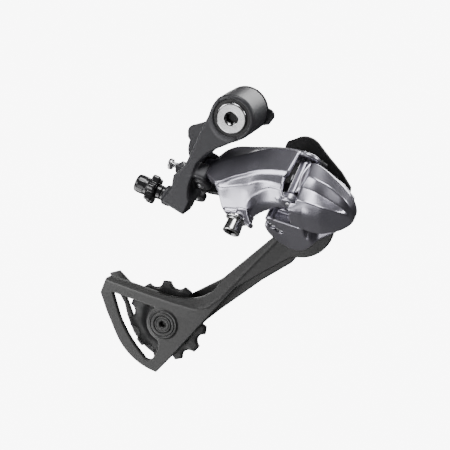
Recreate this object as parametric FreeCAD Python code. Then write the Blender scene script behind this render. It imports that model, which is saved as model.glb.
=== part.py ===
import FreeCAD, Part
import math
import os

# Rear bicycle derailleur, millimetres.
# Origin: axis of the mounting bolt on the face that seats on the frame hanger.
# +X forward on the bicycle, +Y inboard towards the wheel, +Z up.

V = FreeCAD.Vector
Y_AXIS = V(0, 1, 0)
Z_AXIS = V(0, 0, 1)
ZERO = V(0, 0, 0)

# ---- shared clearances ----
RUNNING_FIT = 0.05          # radial, shaft in its bore
SEAT_GAP = 0.05             # radial, pressed sleeve in its seat
SIDE_GAP = 0.35             # between faces that slide past each other
FREE_GAP = 0.4              # around the pivot where the linkage is opened

# ---- hanger bolt and barrel ----
BARREL_RADIUS = 11.5
BARREL_FRONT = -23.5
BARREL_BACK = -3.2
BARREL_WALL = 1.9
HANGER_THREAD_RADIUS = 5.0
HANGER_THREAD_LENGTH = 8.5
AXLE_RADIUS = 6.0
BOLT_HEAD_RADIUS = 7.75
BOLT_HEAD_THICKNESS = 2.8
BOLT_DOME = 0.7
HEX_ACROSS_FLATS = 5.0
HEX_DEPTH = 6.0
BUSH_FLANGE_RADIUS = 9.3
BUSH_FLANGE_THICKNESS = 1.2
BUSH_WALL = 0.9
B_SPRING_WIRE = 1.5
B_SPRING_TURNS = 6

# ---- stop plate, its ring and the B-tension screw ----
PLATE_BACK = -1.2
PLATE_THICKNESS = 1.5
PLATE_RADIUS = 11.5
RING_THICKNESS = 0.8
RING_RADIUS = 8.2
SCREW_RADIUS = 1.5
SCREW_HEAD_RADIUS = 2.8
SCREW_HEAD_HEIGHT = 2.2
B_SCREW_HEAD = V(-41.0, -2.0, -31.4)
B_SCREW_FALL = 9.0          # degrees below level, pointing forward
B_SCREW_LENGTH = 13.4
B_BOSS_RADIUS = 3.2
B_BOSS_START = 5.2
B_BOSS_END = 9.8

# ---- parallelogram ----
PIN_RISE = 46.17            # angle of the pins above level
PIN_TURN = 14.23            # turn of the pins from inboard towards forward
OUTER_PIVOT = V(-16.3, -9.3, -28.1)
LINK_LENGTH = 52.7
LINK_REST_ANGLE = -20.0
INNER_PIVOT_BACK = 4.0      # inner pins lie this far behind the outer pins
INNER_PIVOT_IN = 16.5       # and this far inboard of them
PIN_RADIUS = 2.0
LINK_WALL = 2.1
LINK_BARREL_RADIUS = 3.9
INNER_BARREL_RADIUS = 3.6
INNER_LINK_THICKNESS = 3.0
OUTER_PIN_LOW = -14.5
OUTER_PIN_HIGH_B = 6.0
OUTER_PIN_HIGH_P = 12.6
INNER_PIN_LOW = -13.0
INNER_PIN_HIGH = 8.4
B_LINK_LOW = -8.0
B_LINK_HIGH = 1.6
B_EAR_HIGH = 5.5
B_EAR_LOW = -12.5
P_LUG_HALF = 9.0
P_EAR_THICKNESS_TOP = 2.8
P_EAR_THICKNESS_LOW = 4.8
INNER_LINK_LOW = -8.6
INNER_LINK_HIGH = 4.0
INNER_EAR_LOW = -12.6
INNER_EAR_HIGH = 8.0
INNER_EAR_RADIUS = 4.4
SKIN_FACE = 9.3             # outer face of the outer link from the pin plane
RETURN_SPRING_WIRE = 1.2
RETURN_SPRING_TURNS = 3
RETURN_SPRING_RADIUS = 3.25

# ---- cable parts ----
ADJUSTER_MOUTH = V(-52.3, -17.0, -38.3)
ADJUSTER_FALL = 18.0        # degrees below level, pointing forward
KNOB_RADIUS = 4.5
KNOB_LENGTH = 7.0
FLANGE_RADIUS = 6.2
FLANGE_LENGTH = 4.4
FLANGE_LOBES = 6
LOBE_RADIUS = 1.5
NECK_RADIUS = 3.7
NECK_GAP = 4.6              # neck length that shows between knob and bracket
NECK_IN_BRACKET = 6.5
CABLE_RADIUS = 0.9
HOUSING_RADIUS = 2.6
HOUSING_DEPTH = 7.0
CLAMP_S = 21.8
CLAMP_OFF = 9.2
CLAMP_BOLT_RADIUS = 2.5
CLAMP_HEAD_RADIUS = 4.5
CLAMP_HEAD_LENGTH = 7.0
CLAMP_WASHER_RADIUS = 5.6
CLAMP_WASHER_THICKNESS = 1.5
CLAMP_FACE = -21.4          # lower face of the outer link's clamp pad along the pins
CLAMP_PAD = 5.0
CLAMP_HEX = 5.0

# ---- rear (P) body ----
P_AXLE_X = -8.7             # cage pivot from the outer P pin's middle
P_AXLE_Z = -29.3
PULLEY_PLANE = 32.7         # pulley middle plane, inboard of the outer P pin's middle
P_BARREL_RADIUS = 12.2
P_CAVITY_RADIUS = 8.5
P_BARREL_BACK = -8.45       # from the pulley plane
P_BARREL_FRONT = -26.0
P_CAVITY_FRONT = -15.3
P_AXLE_FRONT = -19.0
P_AXLE_RADIUS = 4.0
P_BUSH_WALL = 0.9
P_SPRING_WIRE = 1.0
P_SPRING_TURNS = 2.5
SEAL_THICKNESS = 0.9
CLIP_THICKNESS = 0.8
STOP_RADIUS = 15.5
STOP_ANGLE = 53.1
STOP_SWEEP = 117.0          # turn the stop pin has room for
STOP_PIN_RADIUS = 1.1
P_LOW_FACE = -18.0          # flat lower face of the P body, along the pins
LIMIT_SCREW_LENGTH = 9.0
LIMIT_RECESS = 1.2

# ---- cage ----
CAGE_LENGTH = 96.0
CAGE_ANGLE = 220.4          # direction from cage pivot to tension pulley
GUIDE_X = -1.0
GUIDE_Z = 12.0
CAGE_GAP = 8.5              # between the plates
OUTER_PLATE_THICKNESS = 2.6
INNER_PLATE_THICKNESS = 1.8
OUTER_LOBE_RADIUS = 18.4
BOSS_RADIUS = 8.0
BOSS_HEIGHT = 0.8
PULLEY_BOLT_RADIUS = 2.5
PULLEY_HEAD_RADIUS = 4.6
PULLEY_HEAD_HEIGHT = 1.6
PULLEY_HEX = 3.0
BUSH_RADIUS = 3.6
DUST_CAP_RADIUS = 7.4
DUST_CAP_THICKNESS = 0.7

# ---- pulleys ----
TEETH = 11
CHAIN_PITCH = 12.7
ROLLER_SEAT_RADIUS = 4.05
TOOTH_TIP_RADIUS = 21.5
TOOTH_WIDTH = 2.4
HUB_RADIUS = 7.0
HUB_WIDTH = 6.2


# ---- directions and places worked out from the sizes above ----
def unit_between(rise, turn):
    """Unit vector that rises from level and turns from +Y towards +X."""
    flat = math.cos(math.radians(rise))
    turned = math.radians(turn)
    return V(flat * math.sin(turned), flat * math.cos(turned), math.sin(math.radians(rise)))


PIN_AXIS = unit_between(PIN_RISE, PIN_TURN)
E1 = V(PIN_AXIS.z, 0, -PIN_AXIS.x).normalize()
E2 = PIN_AXIS.cross(E1)
REST = math.radians(LINK_REST_ANGLE)
L1 = E1 * math.cos(REST) + E2 * math.sin(REST)
L2 = E2 * math.cos(REST) - E1 * math.sin(REST)
INNER_SHIFT = E2 * INNER_PIVOT_IN - E1 * INNER_PIVOT_BACK
INNER_PIVOT = OUTER_PIVOT + INNER_SHIFT
P_OUTER = OUTER_PIVOT + L1 * LINK_LENGTH
P_INNER = P_OUTER + INNER_SHIFT
PULLEY_Y = P_OUTER.y + PULLEY_PLANE
CAGE_X = P_OUTER.x + P_AXLE_X
CAGE_Z = P_OUTER.z + P_AXLE_Z
CAGE_TURN = math.radians(CAGE_ANGLE)
TENSION_X = CAGE_X + CAGE_LENGTH * math.cos(CAGE_TURN)
TENSION_Z = CAGE_Z + CAGE_LENGTH * math.sin(CAGE_TURN)
GUIDE_PULLEY_X = CAGE_X + GUIDE_X
GUIDE_PULLEY_Z = CAGE_Z + GUIDE_Z
OUTER_PLATE_BACK = PULLEY_Y - CAGE_GAP / 2
OUTER_PLATE_FRONT = OUTER_PLATE_BACK - OUTER_PLATE_THICKNESS
INNER_PLATE_FRONT = PULLEY_Y + CAGE_GAP / 2
INNER_PLATE_BACK = INNER_PLATE_FRONT + INNER_PLATE_THICKNESS


# ---- helpers ----
def cylinder(start, axis, radius, length):
    return Part.makeCylinder(radius, length, start, axis)


def tube(start, axis, outer, inner, length):
    return cylinder(start, axis, outer, length).cut(cylinder(start, axis, inner, length))


def merge(shapes):
    whole = shapes[0].fuse(shapes[1:])
    return whole.removeSplitter()


def placed(shape, origin, x_dir, y_dir, z_dir):
    """Move a shape built at the world axes onto the given origin and axes."""
    matrix = FreeCAD.Matrix(
        x_dir.x, y_dir.x, z_dir.x, origin.x,
        x_dir.y, y_dir.y, z_dir.y, origin.y,
        x_dir.z, y_dir.z, z_dir.z, origin.z,
        0, 0, 0, 1)
    return shape.transformed(matrix, True)


def on_pins(shape, origin):
    """Local X, Y, Z become E1, E2 and the pin axis."""
    return placed(shape, origin, E1, E2, PIN_AXIS)


def on_link(shape, origin):
    """Local X runs along the link, Y away from its face, Z along the pins."""
    return placed(shape, origin, L1, L2, PIN_AXIS)


def box(low, high):
    size = [high[i] - low[i] for i in range(3)]
    return Part.makeBox(size[0], size[1], size[2], V(*low))


def path_wire(start, steps, lift):
    """Closed wire: a step of 2 numbers is a line, one of 4 is an arc's middle and end."""
    here = start
    edges = []
    closing = [start] if steps[-1][-2:] != start else []
    for step in steps + closing:
        end = step[-2:]
        if len(step) == 2:
            edges.append(Part.LineSegment(lift(here), lift(end)).toShape())
        else:
            edges.append(Part.Arc(lift(here), lift(step[:2]), lift(end)).toShape())
        here = end
    return Part.Wire(edges)


def slab_xz(start, steps, y_low, y_high):
    """Plate between two Y planes with an outline in X and Z."""
    wire = path_wire(start, steps, lambda q: V(q[0], y_low, q[1]))
    return Part.Face(wire).extrude(V(0, y_high - y_low, 0))


def slab_pins(start, steps, low, high, origin):
    """Prism along the pins with an outline in E1 and E2."""
    wire = path_wire(start, steps, lambda q: V(q[0], q[1], low))
    return on_pins(Part.Face(wire).extrude(V(0, 0, high - low)), origin)


def shifted(points, dx, dz):
    """Move an outline's points, arc middles included."""
    moved = []
    for point in points:
        moved.append(tuple(value + (dx, dz)[i % 2] for i, value in enumerate(point)))
    return moved


def hexagon(centre, axis, across_flats, depth):
    """Hexagonal prism from centre along axis."""
    radius = across_flats / math.sqrt(3)
    corners = [V(radius * math.cos(math.radians(60 * i)), radius * math.sin(math.radians(60 * i)), 0)
               for i in range(6)]
    prism = Part.Face(Part.makePolygon(corners + corners[:1])).extrude(V(0, 0, depth))
    prism.Placement = FreeCAD.Placement(centre, FreeCAD.Rotation(Z_AXIS, axis))
    return prism


def coil(start, axis, mean_radius, wire_radius, pitch, turns):
    """Round-wire coil whose wire begins just above the start plane."""
    per_turn = 12
    points = []
    for i in range(int(turns * per_turn) + 1):
        angle = 2 * math.pi * i / per_turn
        height = wire_radius + pitch * i / per_turn
        points.append(V(mean_radius * math.cos(angle), mean_radius * math.sin(angle), height))
    centre = Part.BSplineCurve()
    centre.interpolate(points)
    tangent = centre.tangent(centre.FirstParameter)[0]
    profile = Part.Wire(Part.makeCircle(wire_radius, points[0], tangent))
    solid = Part.Wire(centre.toShape()).makePipeShell([profile], True, True)
    solid.Placement = FreeCAD.Placement(start, FreeCAD.Rotation(Z_AXIS, axis))
    return solid


def direction_down(fall):
    """Unit vector pointing forward and down in the XZ plane."""
    angle = math.radians(fall)
    return V(math.cos(angle), 0, -math.sin(angle))


# ---- hanger side ----
def b_axle_bolt():
    front = BARREL_FRONT - BOLT_DOME
    head = cylinder(V(0, BARREL_FRONT, 0), Y_AXIS, BOLT_HEAD_RADIUS, BOLT_HEAD_THICKNESS)
    dome = Part.makeCone(BOLT_HEAD_RADIUS - 1.2, BOLT_HEAD_RADIUS, BOLT_DOME, V(0, front, 0), Y_AXIS)
    shank_start = BARREL_FRONT + BOLT_HEAD_THICKNESS
    shank = cylinder(V(0, shank_start, 0), Y_AXIS, AXLE_RADIUS, -shank_start)
    thread = cylinder(ZERO, Y_AXIS, HANGER_THREAD_RADIUS, HANGER_THREAD_LENGTH)
    groove = tube(V(0, PLATE_BACK, 0), Y_AXIS, AXLE_RADIUS + 1, AXLE_RADIUS - 0.6, RING_THICKNESS)
    socket = hexagon(V(0, front, 0), Y_AXIS, HEX_ACROSS_FLATS, HEX_DEPTH)
    return merge([head, dome, shank, thread]).cut([groove, socket])


def b_retaining_ring():
    ring = tube(V(0, PLATE_BACK + 0.05, 0), Y_AXIS, RING_RADIUS, AXLE_RADIUS - 0.6, RING_THICKNESS - 0.1)
    opening = box((-2.4, PLATE_BACK - 1, 0), (2.4, 0, RING_RADIUS + 1))
    return ring.cut(opening)


def b_stop_plate():
    low = PLATE_BACK - PLATE_THICKNESS
    disc = cylinder(V(0, low, 0), Y_AXIS, PLATE_RADIUS, PLATE_THICKNESS)
    hanger_lug = slab_xz((6, 2.5), [(12.6, 0.6), (14.6, -3.0), (11.6, -7.2), (6, -8)], low, PLATE_BACK)
    lever = slab_xz((-6, 9.0), [(-13, 0.5, -21, -8.0), (-27.7, -10.3), (-30.6, -13.6), (-30.8, -16.6),
                                (-29.6, -18.4), (-30.2, -24.6), (-28.6, -29.6), (-27.4, -32.2),
                                (-24.2, -30.6), (-25.6, -25.0), (-26.2, -19.6, -21.4, -14.4),
                                (-13, -10.8, -5, -9.2)],
                    low, PLATE_BACK)
    bore = cylinder(V(0, low - 1, 0), Y_AXIS, AXLE_RADIUS + RUNNING_FIT, PLATE_THICKNESS + 2)
    return merge([disc, hanger_lug, lever]).cut(bore)


# ---- bracket ----
def b_knuckle():
    barrel = cylinder(V(0, BARREL_FRONT, 0), Y_AXIS, BARREL_RADIUS, BARREL_BACK - BARREL_FRONT)
    arm_back = BARREL_BACK - 1.3
    arm = slab_xz((-7.0, 9.1), [(-13.6, -2.5), (-24.6, -25.9), (-30.6, -31.2), (-31.8, -38.0), (-35.6, -42.8),
                                (-37.1, -45.4), (-25.7, -51.1), (-24.0, -48.7), (-21.7, -43.5),
                                (-22.6, -38, -21.4, -33.4), (-19.1, -27.3), (-18.0, -24.6),
                                (-11.6, -18.9), (-4.9, -14.7), (1.5, -11.4)], BARREL_FRONT, arm_back)
    block = slab_xz((-32.5, -39.0), [(-35.6, -42.8), (-36.4, -45.2), (-25.7, -51.1), (-24.0, -48.7),
                                     (-22.5, -45.4), (-26, -42.6)], arm_back - 1, 0.5)
    ear_top = on_pins(box((-9.0, -3.6, B_LINK_HIGH + SIDE_GAP), (0, 3.6, B_EAR_HIGH)), OUTER_PIVOT)
    ear_top_round = pin_disc(OUTER_PIVOT, 3.6, B_LINK_HIGH + SIDE_GAP, B_EAR_HIGH)
    ear_low = on_pins(box((-10.0, -4.6, B_EAR_LOW), (0, 4.6, B_LINK_LOW - SIDE_GAP)), OUTER_PIVOT)
    ear_low_round = pin_disc(OUTER_PIVOT, 4.6, B_EAR_LOW, B_LINK_LOW - SIDE_GAP)
    web = on_pins(box((-8.2, -2.2, INNER_EAR_LOW), (-4.9, 4.4, INNER_EAR_HIGH)), INNER_PIVOT)
    in_top = on_pins(box((-8.2, -2.2, INNER_LINK_HIGH + SIDE_GAP), (0, 4.4, INNER_EAR_HIGH)), INNER_PIVOT)
    in_low = on_pins(box((-8.2, -4.4, INNER_EAR_LOW), (0, 4.4, INNER_LINK_LOW - SIDE_GAP)), INNER_PIVOT)
    in_top_round = pin_disc(INNER_PIVOT, INNER_EAR_RADIUS, INNER_LINK_HIGH + SIDE_GAP, INNER_EAR_HIGH)
    in_low_round = pin_disc(INNER_PIVOT, INNER_EAR_RADIUS, INNER_EAR_LOW, INNER_LINK_LOW - SIDE_GAP)
    fall = direction_down(B_SCREW_FALL)
    boss = cylinder(B_SCREW_HEAD + fall * B_BOSS_START, fall, B_BOSS_RADIUS, B_BOSS_END - B_BOSS_START)
    boss_web = slab_xz((-36.2, -30.4), [(-31.6, -31.6), (-31.4, -37.8), (-34.5, -38.6), (-36.4, -34.0)],
                       arm_back - 1.5, B_SCREW_HEAD.y + 1.4)
    body = merge([barrel, arm, block, ear_top, ear_top_round, ear_low, ear_low_round, web, in_top, in_low,
                  in_top_round, in_low_round, boss, boss_web])
    return body.cut(bracket_openings(arm_back))


def pin_disc(origin, radius, low, high):
    return cylinder(origin + PIN_AXIS * low, PIN_AXIS, radius, high - low)


def bracket_openings(arm_back):
    """Bores and clearances cut from the bracket."""
    flange_seat = cylinder(V(0, BARREL_FRONT - 1, 0), Y_AXIS, BUSH_FLANGE_RADIUS + SEAT_GAP,
                           BOLT_HEAD_THICKNESS + BUSH_FLANGE_THICKNESS + 1 + 2 * SEAT_GAP)
    bush_bore = cylinder(V(0, BARREL_FRONT, 0), Y_AXIS, AXLE_RADIUS + RUNNING_FIT + BUSH_WALL + SEAT_GAP,
                         BARREL_BACK - BARREL_FRONT + 1)
    cavity_start = BARREL_FRONT + BOLT_HEAD_THICKNESS + BUSH_FLANGE_THICKNESS + 2.5
    cavity_radius = BARREL_RADIUS - BARREL_WALL
    cavity = cylinder(V(0, cavity_start, 0), Y_AXIS, cavity_radius, BARREL_BACK - cavity_start + 1)
    swing = INNER_BARREL_RADIUS + FREE_GAP
    inner_sweep = pin_disc(INNER_PIVOT, swing, INNER_LINK_LOW - SIDE_GAP, INNER_LINK_HIGH + SIDE_GAP)
    outer_sweep = pin_disc(OUTER_PIVOT, LINK_BARREL_RADIUS + FREE_GAP, B_LINK_LOW - SIDE_GAP,
                           B_LINK_HIGH + SIDE_GAP)
    outer_pin = pin_disc(OUTER_PIVOT, PIN_RADIUS, OUTER_PIN_LOW, OUTER_PIN_HIGH_B + 1)
    inner_pin = pin_disc(INNER_PIVOT, PIN_RADIUS, INNER_PIN_LOW - 1, INNER_PIN_HIGH + 1)
    lever_room = cylinder(V(0, arm_back + 0.6, 0), Y_AXIS, 44.6, PLATE_BACK + 0.5 - arm_back - 0.6)
    lever_room = lever_room.cut(cylinder(V(0, arm_back, 0), Y_AXIS, BARREL_RADIUS, 6))
    lever_room = lever_room.common(box((-33.0, arm_back, -46), (0, 2, -8)))
    fall = direction_down(B_SCREW_FALL)
    screw_hole = cylinder(B_SCREW_HEAD, fall, SCREW_RADIUS + RUNNING_FIT, B_BOSS_END + 1)
    axis = direction_down(ADJUSTER_FALL)
    neck = adjuster_point(KNOB_LENGTH + FLANGE_LENGTH + NECK_GAP)
    neck_bore = cylinder(neck - axis * 3, axis, NECK_RADIUS + RUNNING_FIT, NECK_IN_BRACKET + 3 + SIDE_GAP)
    cable_bore = cylinder(neck, axis, CABLE_RADIUS, 30)
    return [flange_seat, bush_bore, cavity, inner_sweep, outer_sweep, outer_pin, inner_pin,
            lever_room, screw_hole, neck_bore, cable_bore]


def b_bush():
    inner = AXLE_RADIUS + RUNNING_FIT
    start = BARREL_FRONT + BOLT_HEAD_THICKNESS + SEAT_GAP
    flange = tube(V(0, start, 0), Y_AXIS, BUSH_FLANGE_RADIUS, inner, BUSH_FLANGE_THICKNESS)
    collar = tube(V(0, BARREL_FRONT + 0.3, 0), Y_AXIS, BUSH_FLANGE_RADIUS,
                  BOLT_HEAD_RADIUS + 2 * RUNNING_FIT, BOLT_HEAD_THICKNESS)
    sleeve = tube(V(0, start, 0), Y_AXIS, inner + BUSH_WALL, inner, BARREL_BACK - start - 0.4)
    return merge([flange, collar, sleeve])


def b_spring():
    cavity_start = BARREL_FRONT + BOLT_HEAD_THICKNESS + BUSH_FLANGE_THICKNESS + 2.5
    sleeve = AXLE_RADIUS + RUNNING_FIT + BUSH_WALL
    mean = (sleeve + BARREL_RADIUS - BARREL_WALL) / 2
    wire = B_SPRING_WIRE / 2
    room = BARREL_BACK - cavity_start - 2 * wire - 0.4
    return coil(V(0, cavity_start + 0.1, 0), Y_AXIS, mean, wire, room / B_SPRING_TURNS, B_SPRING_TURNS)


def b_outer_pin():
    return pin_disc(OUTER_PIVOT, PIN_RADIUS, B_EAR_LOW - 0.6, OUTER_PIN_HIGH_B)


def b_inner_pin():
    return pin_disc(INNER_PIVOT, PIN_RADIUS, INNER_PIN_LOW, INNER_PIN_HIGH)


def return_spring():
    wire = RETURN_SPRING_WIRE / 2
    start = INNER_PIVOT + PIN_AXIS * (INNER_LINK_LOW + 0.1)
    return coil(start, PIN_AXIS, RETURN_SPRING_RADIUS, wire, RETURN_SPRING_WIRE + 0.3, RETURN_SPRING_TURNS)


def return_spring_room():
    """Height along the pin that the return spring takes from the inner link."""
    return (RETURN_SPRING_WIRE + 0.3) * RETURN_SPRING_TURNS + RETURN_SPRING_WIRE + 0.4


def screw(head_point, axis, length):
    """Cross-head machine screw; head_point is the head's outer face."""
    head = cylinder(head_point, axis, SCREW_HEAD_RADIUS, SCREW_HEAD_HEIGHT)
    shank = cylinder(head_point, axis, SCREW_RADIUS, length)
    side = axis.cross(Y_AXIS).normalize()
    up = axis.cross(side)
    cross = merge([placed(box((-1.6, -0.4, -0.1), (1.6, 0.4, 1.4)), head_point, side, up, axis),
                   placed(box((-0.4, -1.6, -0.1), (0.4, 1.6, 1.4)), head_point, side, up, axis)])
    return merge([head, shank]).cut(cross)


def b_tension_screw():
    return screw(B_SCREW_HEAD, direction_down(B_SCREW_FALL), B_SCREW_LENGTH)


# ---- cable adjuster ----
def adjuster_point(distance):
    """Point on the adjuster's axis at a distance in from its mouth."""
    return ADJUSTER_MOUTH + direction_down(ADJUSTER_FALL) * distance


def cable_adjuster():
    axis = direction_down(ADJUSTER_FALL)
    knob = cylinder(ADJUSTER_MOUTH, axis, KNOB_RADIUS, KNOB_LENGTH)
    flange = cylinder(adjuster_point(KNOB_LENGTH), axis, FLANGE_RADIUS, FLANGE_LENGTH)
    side = axis.cross(Y_AXIS).normalize()
    lobes = []
    for i in range(FLANGE_LOBES):
        angle = 2 * math.pi * i / FLANGE_LOBES
        out = side * math.cos(angle) + Y_AXIS * math.sin(angle)
        start = adjuster_point(KNOB_LENGTH) + out * FLANGE_RADIUS
        lobes.append(cylinder(start, axis, LOBE_RADIUS, FLANGE_LENGTH))
    bore = cylinder(ADJUSTER_MOUTH - axis, axis, HOUSING_RADIUS + 0.8, KNOB_LENGTH + FLANGE_LENGTH + 2)
    return merge([knob, flange] + lobes).cut(bore)


def adjuster_bolt():
    axis = direction_down(ADJUSTER_FALL)
    inside = KNOB_LENGTH + FLANGE_LENGTH
    sleeve = cylinder(adjuster_point(0.4), axis, HOUSING_RADIUS + 0.75, inside)
    neck = cylinder(adjuster_point(inside + 0.1), axis, NECK_RADIUS, NECK_GAP + NECK_IN_BRACKET)
    socket = cylinder(adjuster_point(-0.1), axis, HOUSING_RADIUS, HOUSING_DEPTH + 0.5)
    cable_hole = cylinder(ADJUSTER_MOUTH, axis, CABLE_RADIUS, 40)
    return merge([sleeve, neck]).cut([socket, cable_hole])


# ---- outer link and cable clamp ----
LINK_SECTIONS = [
    (3.0, [(-3.0, 1.0), (-5.5, -1.5), (-7.0, -6.0), (-6.5, -8.0), (-4.5, -9.0)]),
    (9.0, [(-2.5, 9.0), (-7.0, 2.5), (-7.8, -8.0), (-6.5, -10.5), (-4.0, -12.0)]),
    (13.0, [(-2.0, 12.2), (-7.5, 4.8), (-8.2, -9.5), (-4.0, -14.0), (0.0, -16.5)]),
    (15.0, [(-2.0, 12.7), (-7.7, 5.6), (-8.6, -9.5), (-1.0, -17.5), (6.0, -21.3)]),
    (26.0, [(-2.0, 14.2), (-8.0, 8.0), (-9.0, -6.8), (0.0, -17.0), (6.0, -21.3)]),
    (30.0, [(-2.0, 14.4), (-8.2, 9.2), (-9.2, -5.5), (-3.0, -14.5), (4.0, -19.5)]),
    (36.0, [(-2.0, 14.5), (-8.6, 10.2), (-9.3, -4.0), (-6.0, -12.0), (3.6, -15.6)]),
    (43.0, [(-2.0, 14.5), (-8.8, 10.8), (-9.4, -3.0), (-8.4, -10.0), (2.6, -13.4)]),
    (51.0, [(-2.0, 14.3), (-8.8, 10.9), (-9.3, -3.0), (-8.8, -10.2), (-1.0, -13.6)]),
]


def offset_inward(line, wall):
    """Copy of an open (off, c) line moved by the wall's thickness towards the pins."""
    moved = []
    for i, point in enumerate(line):
        before = line[max(i - 1, 0)]
        after = line[min(i + 1, len(line) - 1)]
        run = (after[0] - before[0], after[1] - before[1])
        size = math.hypot(*run)
        moved.append((point[0] - run[1] / size * wall, point[1] + run[0] / size * wall))
    return moved


def link_skin():
    wires = []
    stretch = LINK_LENGTH / 52.7
    for station, line in LINK_SECTIONS:
        loop = line + offset_inward(line, LINK_WALL)[::-1]
        corners = [V(station * stretch, off, c) for off, c in loop]
        wires.append(Part.makePolygon(corners + corners[:1]))
    return on_link(Part.makeLoft(wires, True, True), OUTER_PIVOT)


def outer_link():
    barrel = pin_disc(OUTER_PIVOT, LINK_BARREL_RADIUS, B_LINK_LOW, B_LINK_HIGH)
    neck = on_link(box((1.6, -6.0, B_LINK_LOW), (11.0, 1.5, B_LINK_HIGH - 1.0)), OUTER_PIVOT)
    ear_top_low = P_LUG_HALF + SIDE_GAP + 0.6
    ear_top = pin_disc(P_OUTER, 6.4, ear_top_low, ear_top_low + P_EAR_THICKNESS_TOP)
    top_arm = on_link(box((-9.5, -6.4, ear_top_low), (0, 3.0, ear_top_low + P_EAR_THICKNESS_TOP)), P_OUTER)
    ear_low_top = -P_LUG_HALF - SIDE_GAP
    ear_low = pin_disc(P_OUTER, 5.2, ear_low_top - P_EAR_THICKNESS_LOW, ear_low_top)
    low_arm = on_link(box((-9.5, -5.0, ear_low_top - 3.6), (0, 3.6, ear_low_top)), P_OUTER)
    pad = on_link(box((CLAMP_S - 5.6, CLAMP_OFF - 5.6, CLAMP_FACE),
                      (CLAMP_S + 5.6, CLAMP_OFF + 2.6, CLAMP_FACE + CLAMP_PAD)),
                  OUTER_PIVOT)
    body = merge([link_skin(), barrel, neck, ear_top, top_arm, ear_low, low_arm, pad])
    b_bore = pin_disc(OUTER_PIVOT, PIN_RADIUS + RUNNING_FIT, -20, 20)
    p_bore = pin_disc(P_OUTER, PIN_RADIUS + RUNNING_FIT, -20, 20)
    thread = cylinder(clamp_point(0), PIN_AXIS, CLAMP_BOLT_RADIUS + RUNNING_FIT, 20)
    return body.cut([b_bore, p_bore, thread])


def clamp_point(height):
    """Point on the clamp bolt's axis, measured up from the pad's lower face."""
    return OUTER_PIVOT + L1 * CLAMP_S + L2 * CLAMP_OFF + PIN_AXIS * (CLAMP_FACE + height)


def cable_clamp_washer():
    low = clamp_point(-CLAMP_WASHER_THICKNESS)
    disc = cylinder(low, PIN_AXIS, CLAMP_WASHER_RADIUS, CLAMP_WASHER_THICKNESS)
    tab = placed(box((0, -2.6, 0), (7.6, 2.6, CLAMP_WASHER_THICKNESS)), low, L1, L2, PIN_AXIS)
    lip = placed(box((6.2, -2.6, 0), (7.6, 2.6, 4.2)), low, L1, L2, PIN_AXIS)
    hole = cylinder(low - PIN_AXIS, PIN_AXIS, CLAMP_BOLT_RADIUS + RUNNING_FIT, 4)
    return merge([disc, tab, lip]).cut(hole)


def cable_clamp_bolt():
    head_low = clamp_point(-CLAMP_WASHER_THICKNESS - CLAMP_HEAD_LENGTH)
    head = cylinder(head_low, PIN_AXIS, CLAMP_HEAD_RADIUS, CLAMP_HEAD_LENGTH)
    reach = CLAMP_HEAD_LENGTH + CLAMP_WASHER_THICKNESS + CLAMP_PAD + 1.0
    shank = cylinder(head_low, PIN_AXIS, CLAMP_BOLT_RADIUS, reach)
    return merge([head, shank]).cut(hexagon(head_low, PIN_AXIS, CLAMP_HEX, 4.0))


# ---- inner link ----
def inner_link():
    ends = []
    for origin in (INNER_PIVOT, P_INNER):
        ends.append(pin_disc(origin, INNER_BARREL_RADIUS, INNER_LINK_LOW, INNER_LINK_HIGH))
    half = INNER_LINK_THICKNESS / 2
    plate = on_link(box((0, -half, INNER_LINK_LOW), (LINK_LENGTH, half, INNER_LINK_HIGH)), INNER_PIVOT)
    body = merge([plate] + ends)
    b_bore = pin_disc(INNER_PIVOT, PIN_RADIUS + RUNNING_FIT, -20, 20)
    open_bore = pin_disc(P_INNER, PIN_RADIUS + FREE_GAP, -20, 20)
    spring_room = pin_disc(INNER_PIVOT, RETURN_SPRING_RADIUS + RETURN_SPRING_WIRE / 2 + FREE_GAP,
                           INNER_LINK_LOW - 1, INNER_LINK_LOW + return_spring_room())
    return body.cut([b_bore, open_bore, spring_room])


# ---- P body ----
NOSE_SECTIONS = [
    (1.2, [(4.0, 9.0), (-3.2, 9.0), (-6.0, 6.6), (-6.4, -6.0), (-5.6, -9.0), (4.0, -9.0)]),
    (5.4, [(5.0, 9.0), (-4.0, 8.8), (-7.4, 6.4), (-8.2, -6.4), (-3.0, -18.0), (16.0, -18.0)]),
    (11.0, [(6.5, 8.2), (-4.0, 8.0), (-7.0, 4.8), (-8.0, -7.0), (-3.0, -18.0), (17.0, -18.0)]),
    (18.0, [(8.0, 5.4), (-3.0, 4.8), (-6.0, 2.0), (-7.0, -8.0), (-2.0, -17.0), (15.0, -17.0)]),
    (25.0, [(9.0, 2.0), (-1.0, 1.0), (-4.0, -2.0), (-5.0, -8.0), (-2.0, -13.2), (13.0, -12.6)]),
    (29.4, [(8.0, -2.5), (2.0, -2.0), (0.0, -4.0), (-0.5, -7.0), (1.0, -9.8), (9.0, -9.4)]),
]


SKIRT = [(-12.0, -41.5), (-5.9, -41.5), (-1.4, -38.0), (3.5, -34.4), (9.5, -30.8), (14.9, -28.0),
         (17.6, -24.0), (20.2, -18.2), (20.6, -12.8), (13.4, -4.8), (6.8, 0.5), (-4.0, -14.0)]
POCKET = [(-4.0, -36.5), (2.2, -32.6), (8.4, -28.9), (13.6, -26.2), (15.8, -22.8), (18.2, -17.4),
          (18.4, -13.6), (11.9, -6.4), (6.6, -2.4), (2.0, -8.0), (-2.0, -17.5)]


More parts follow.
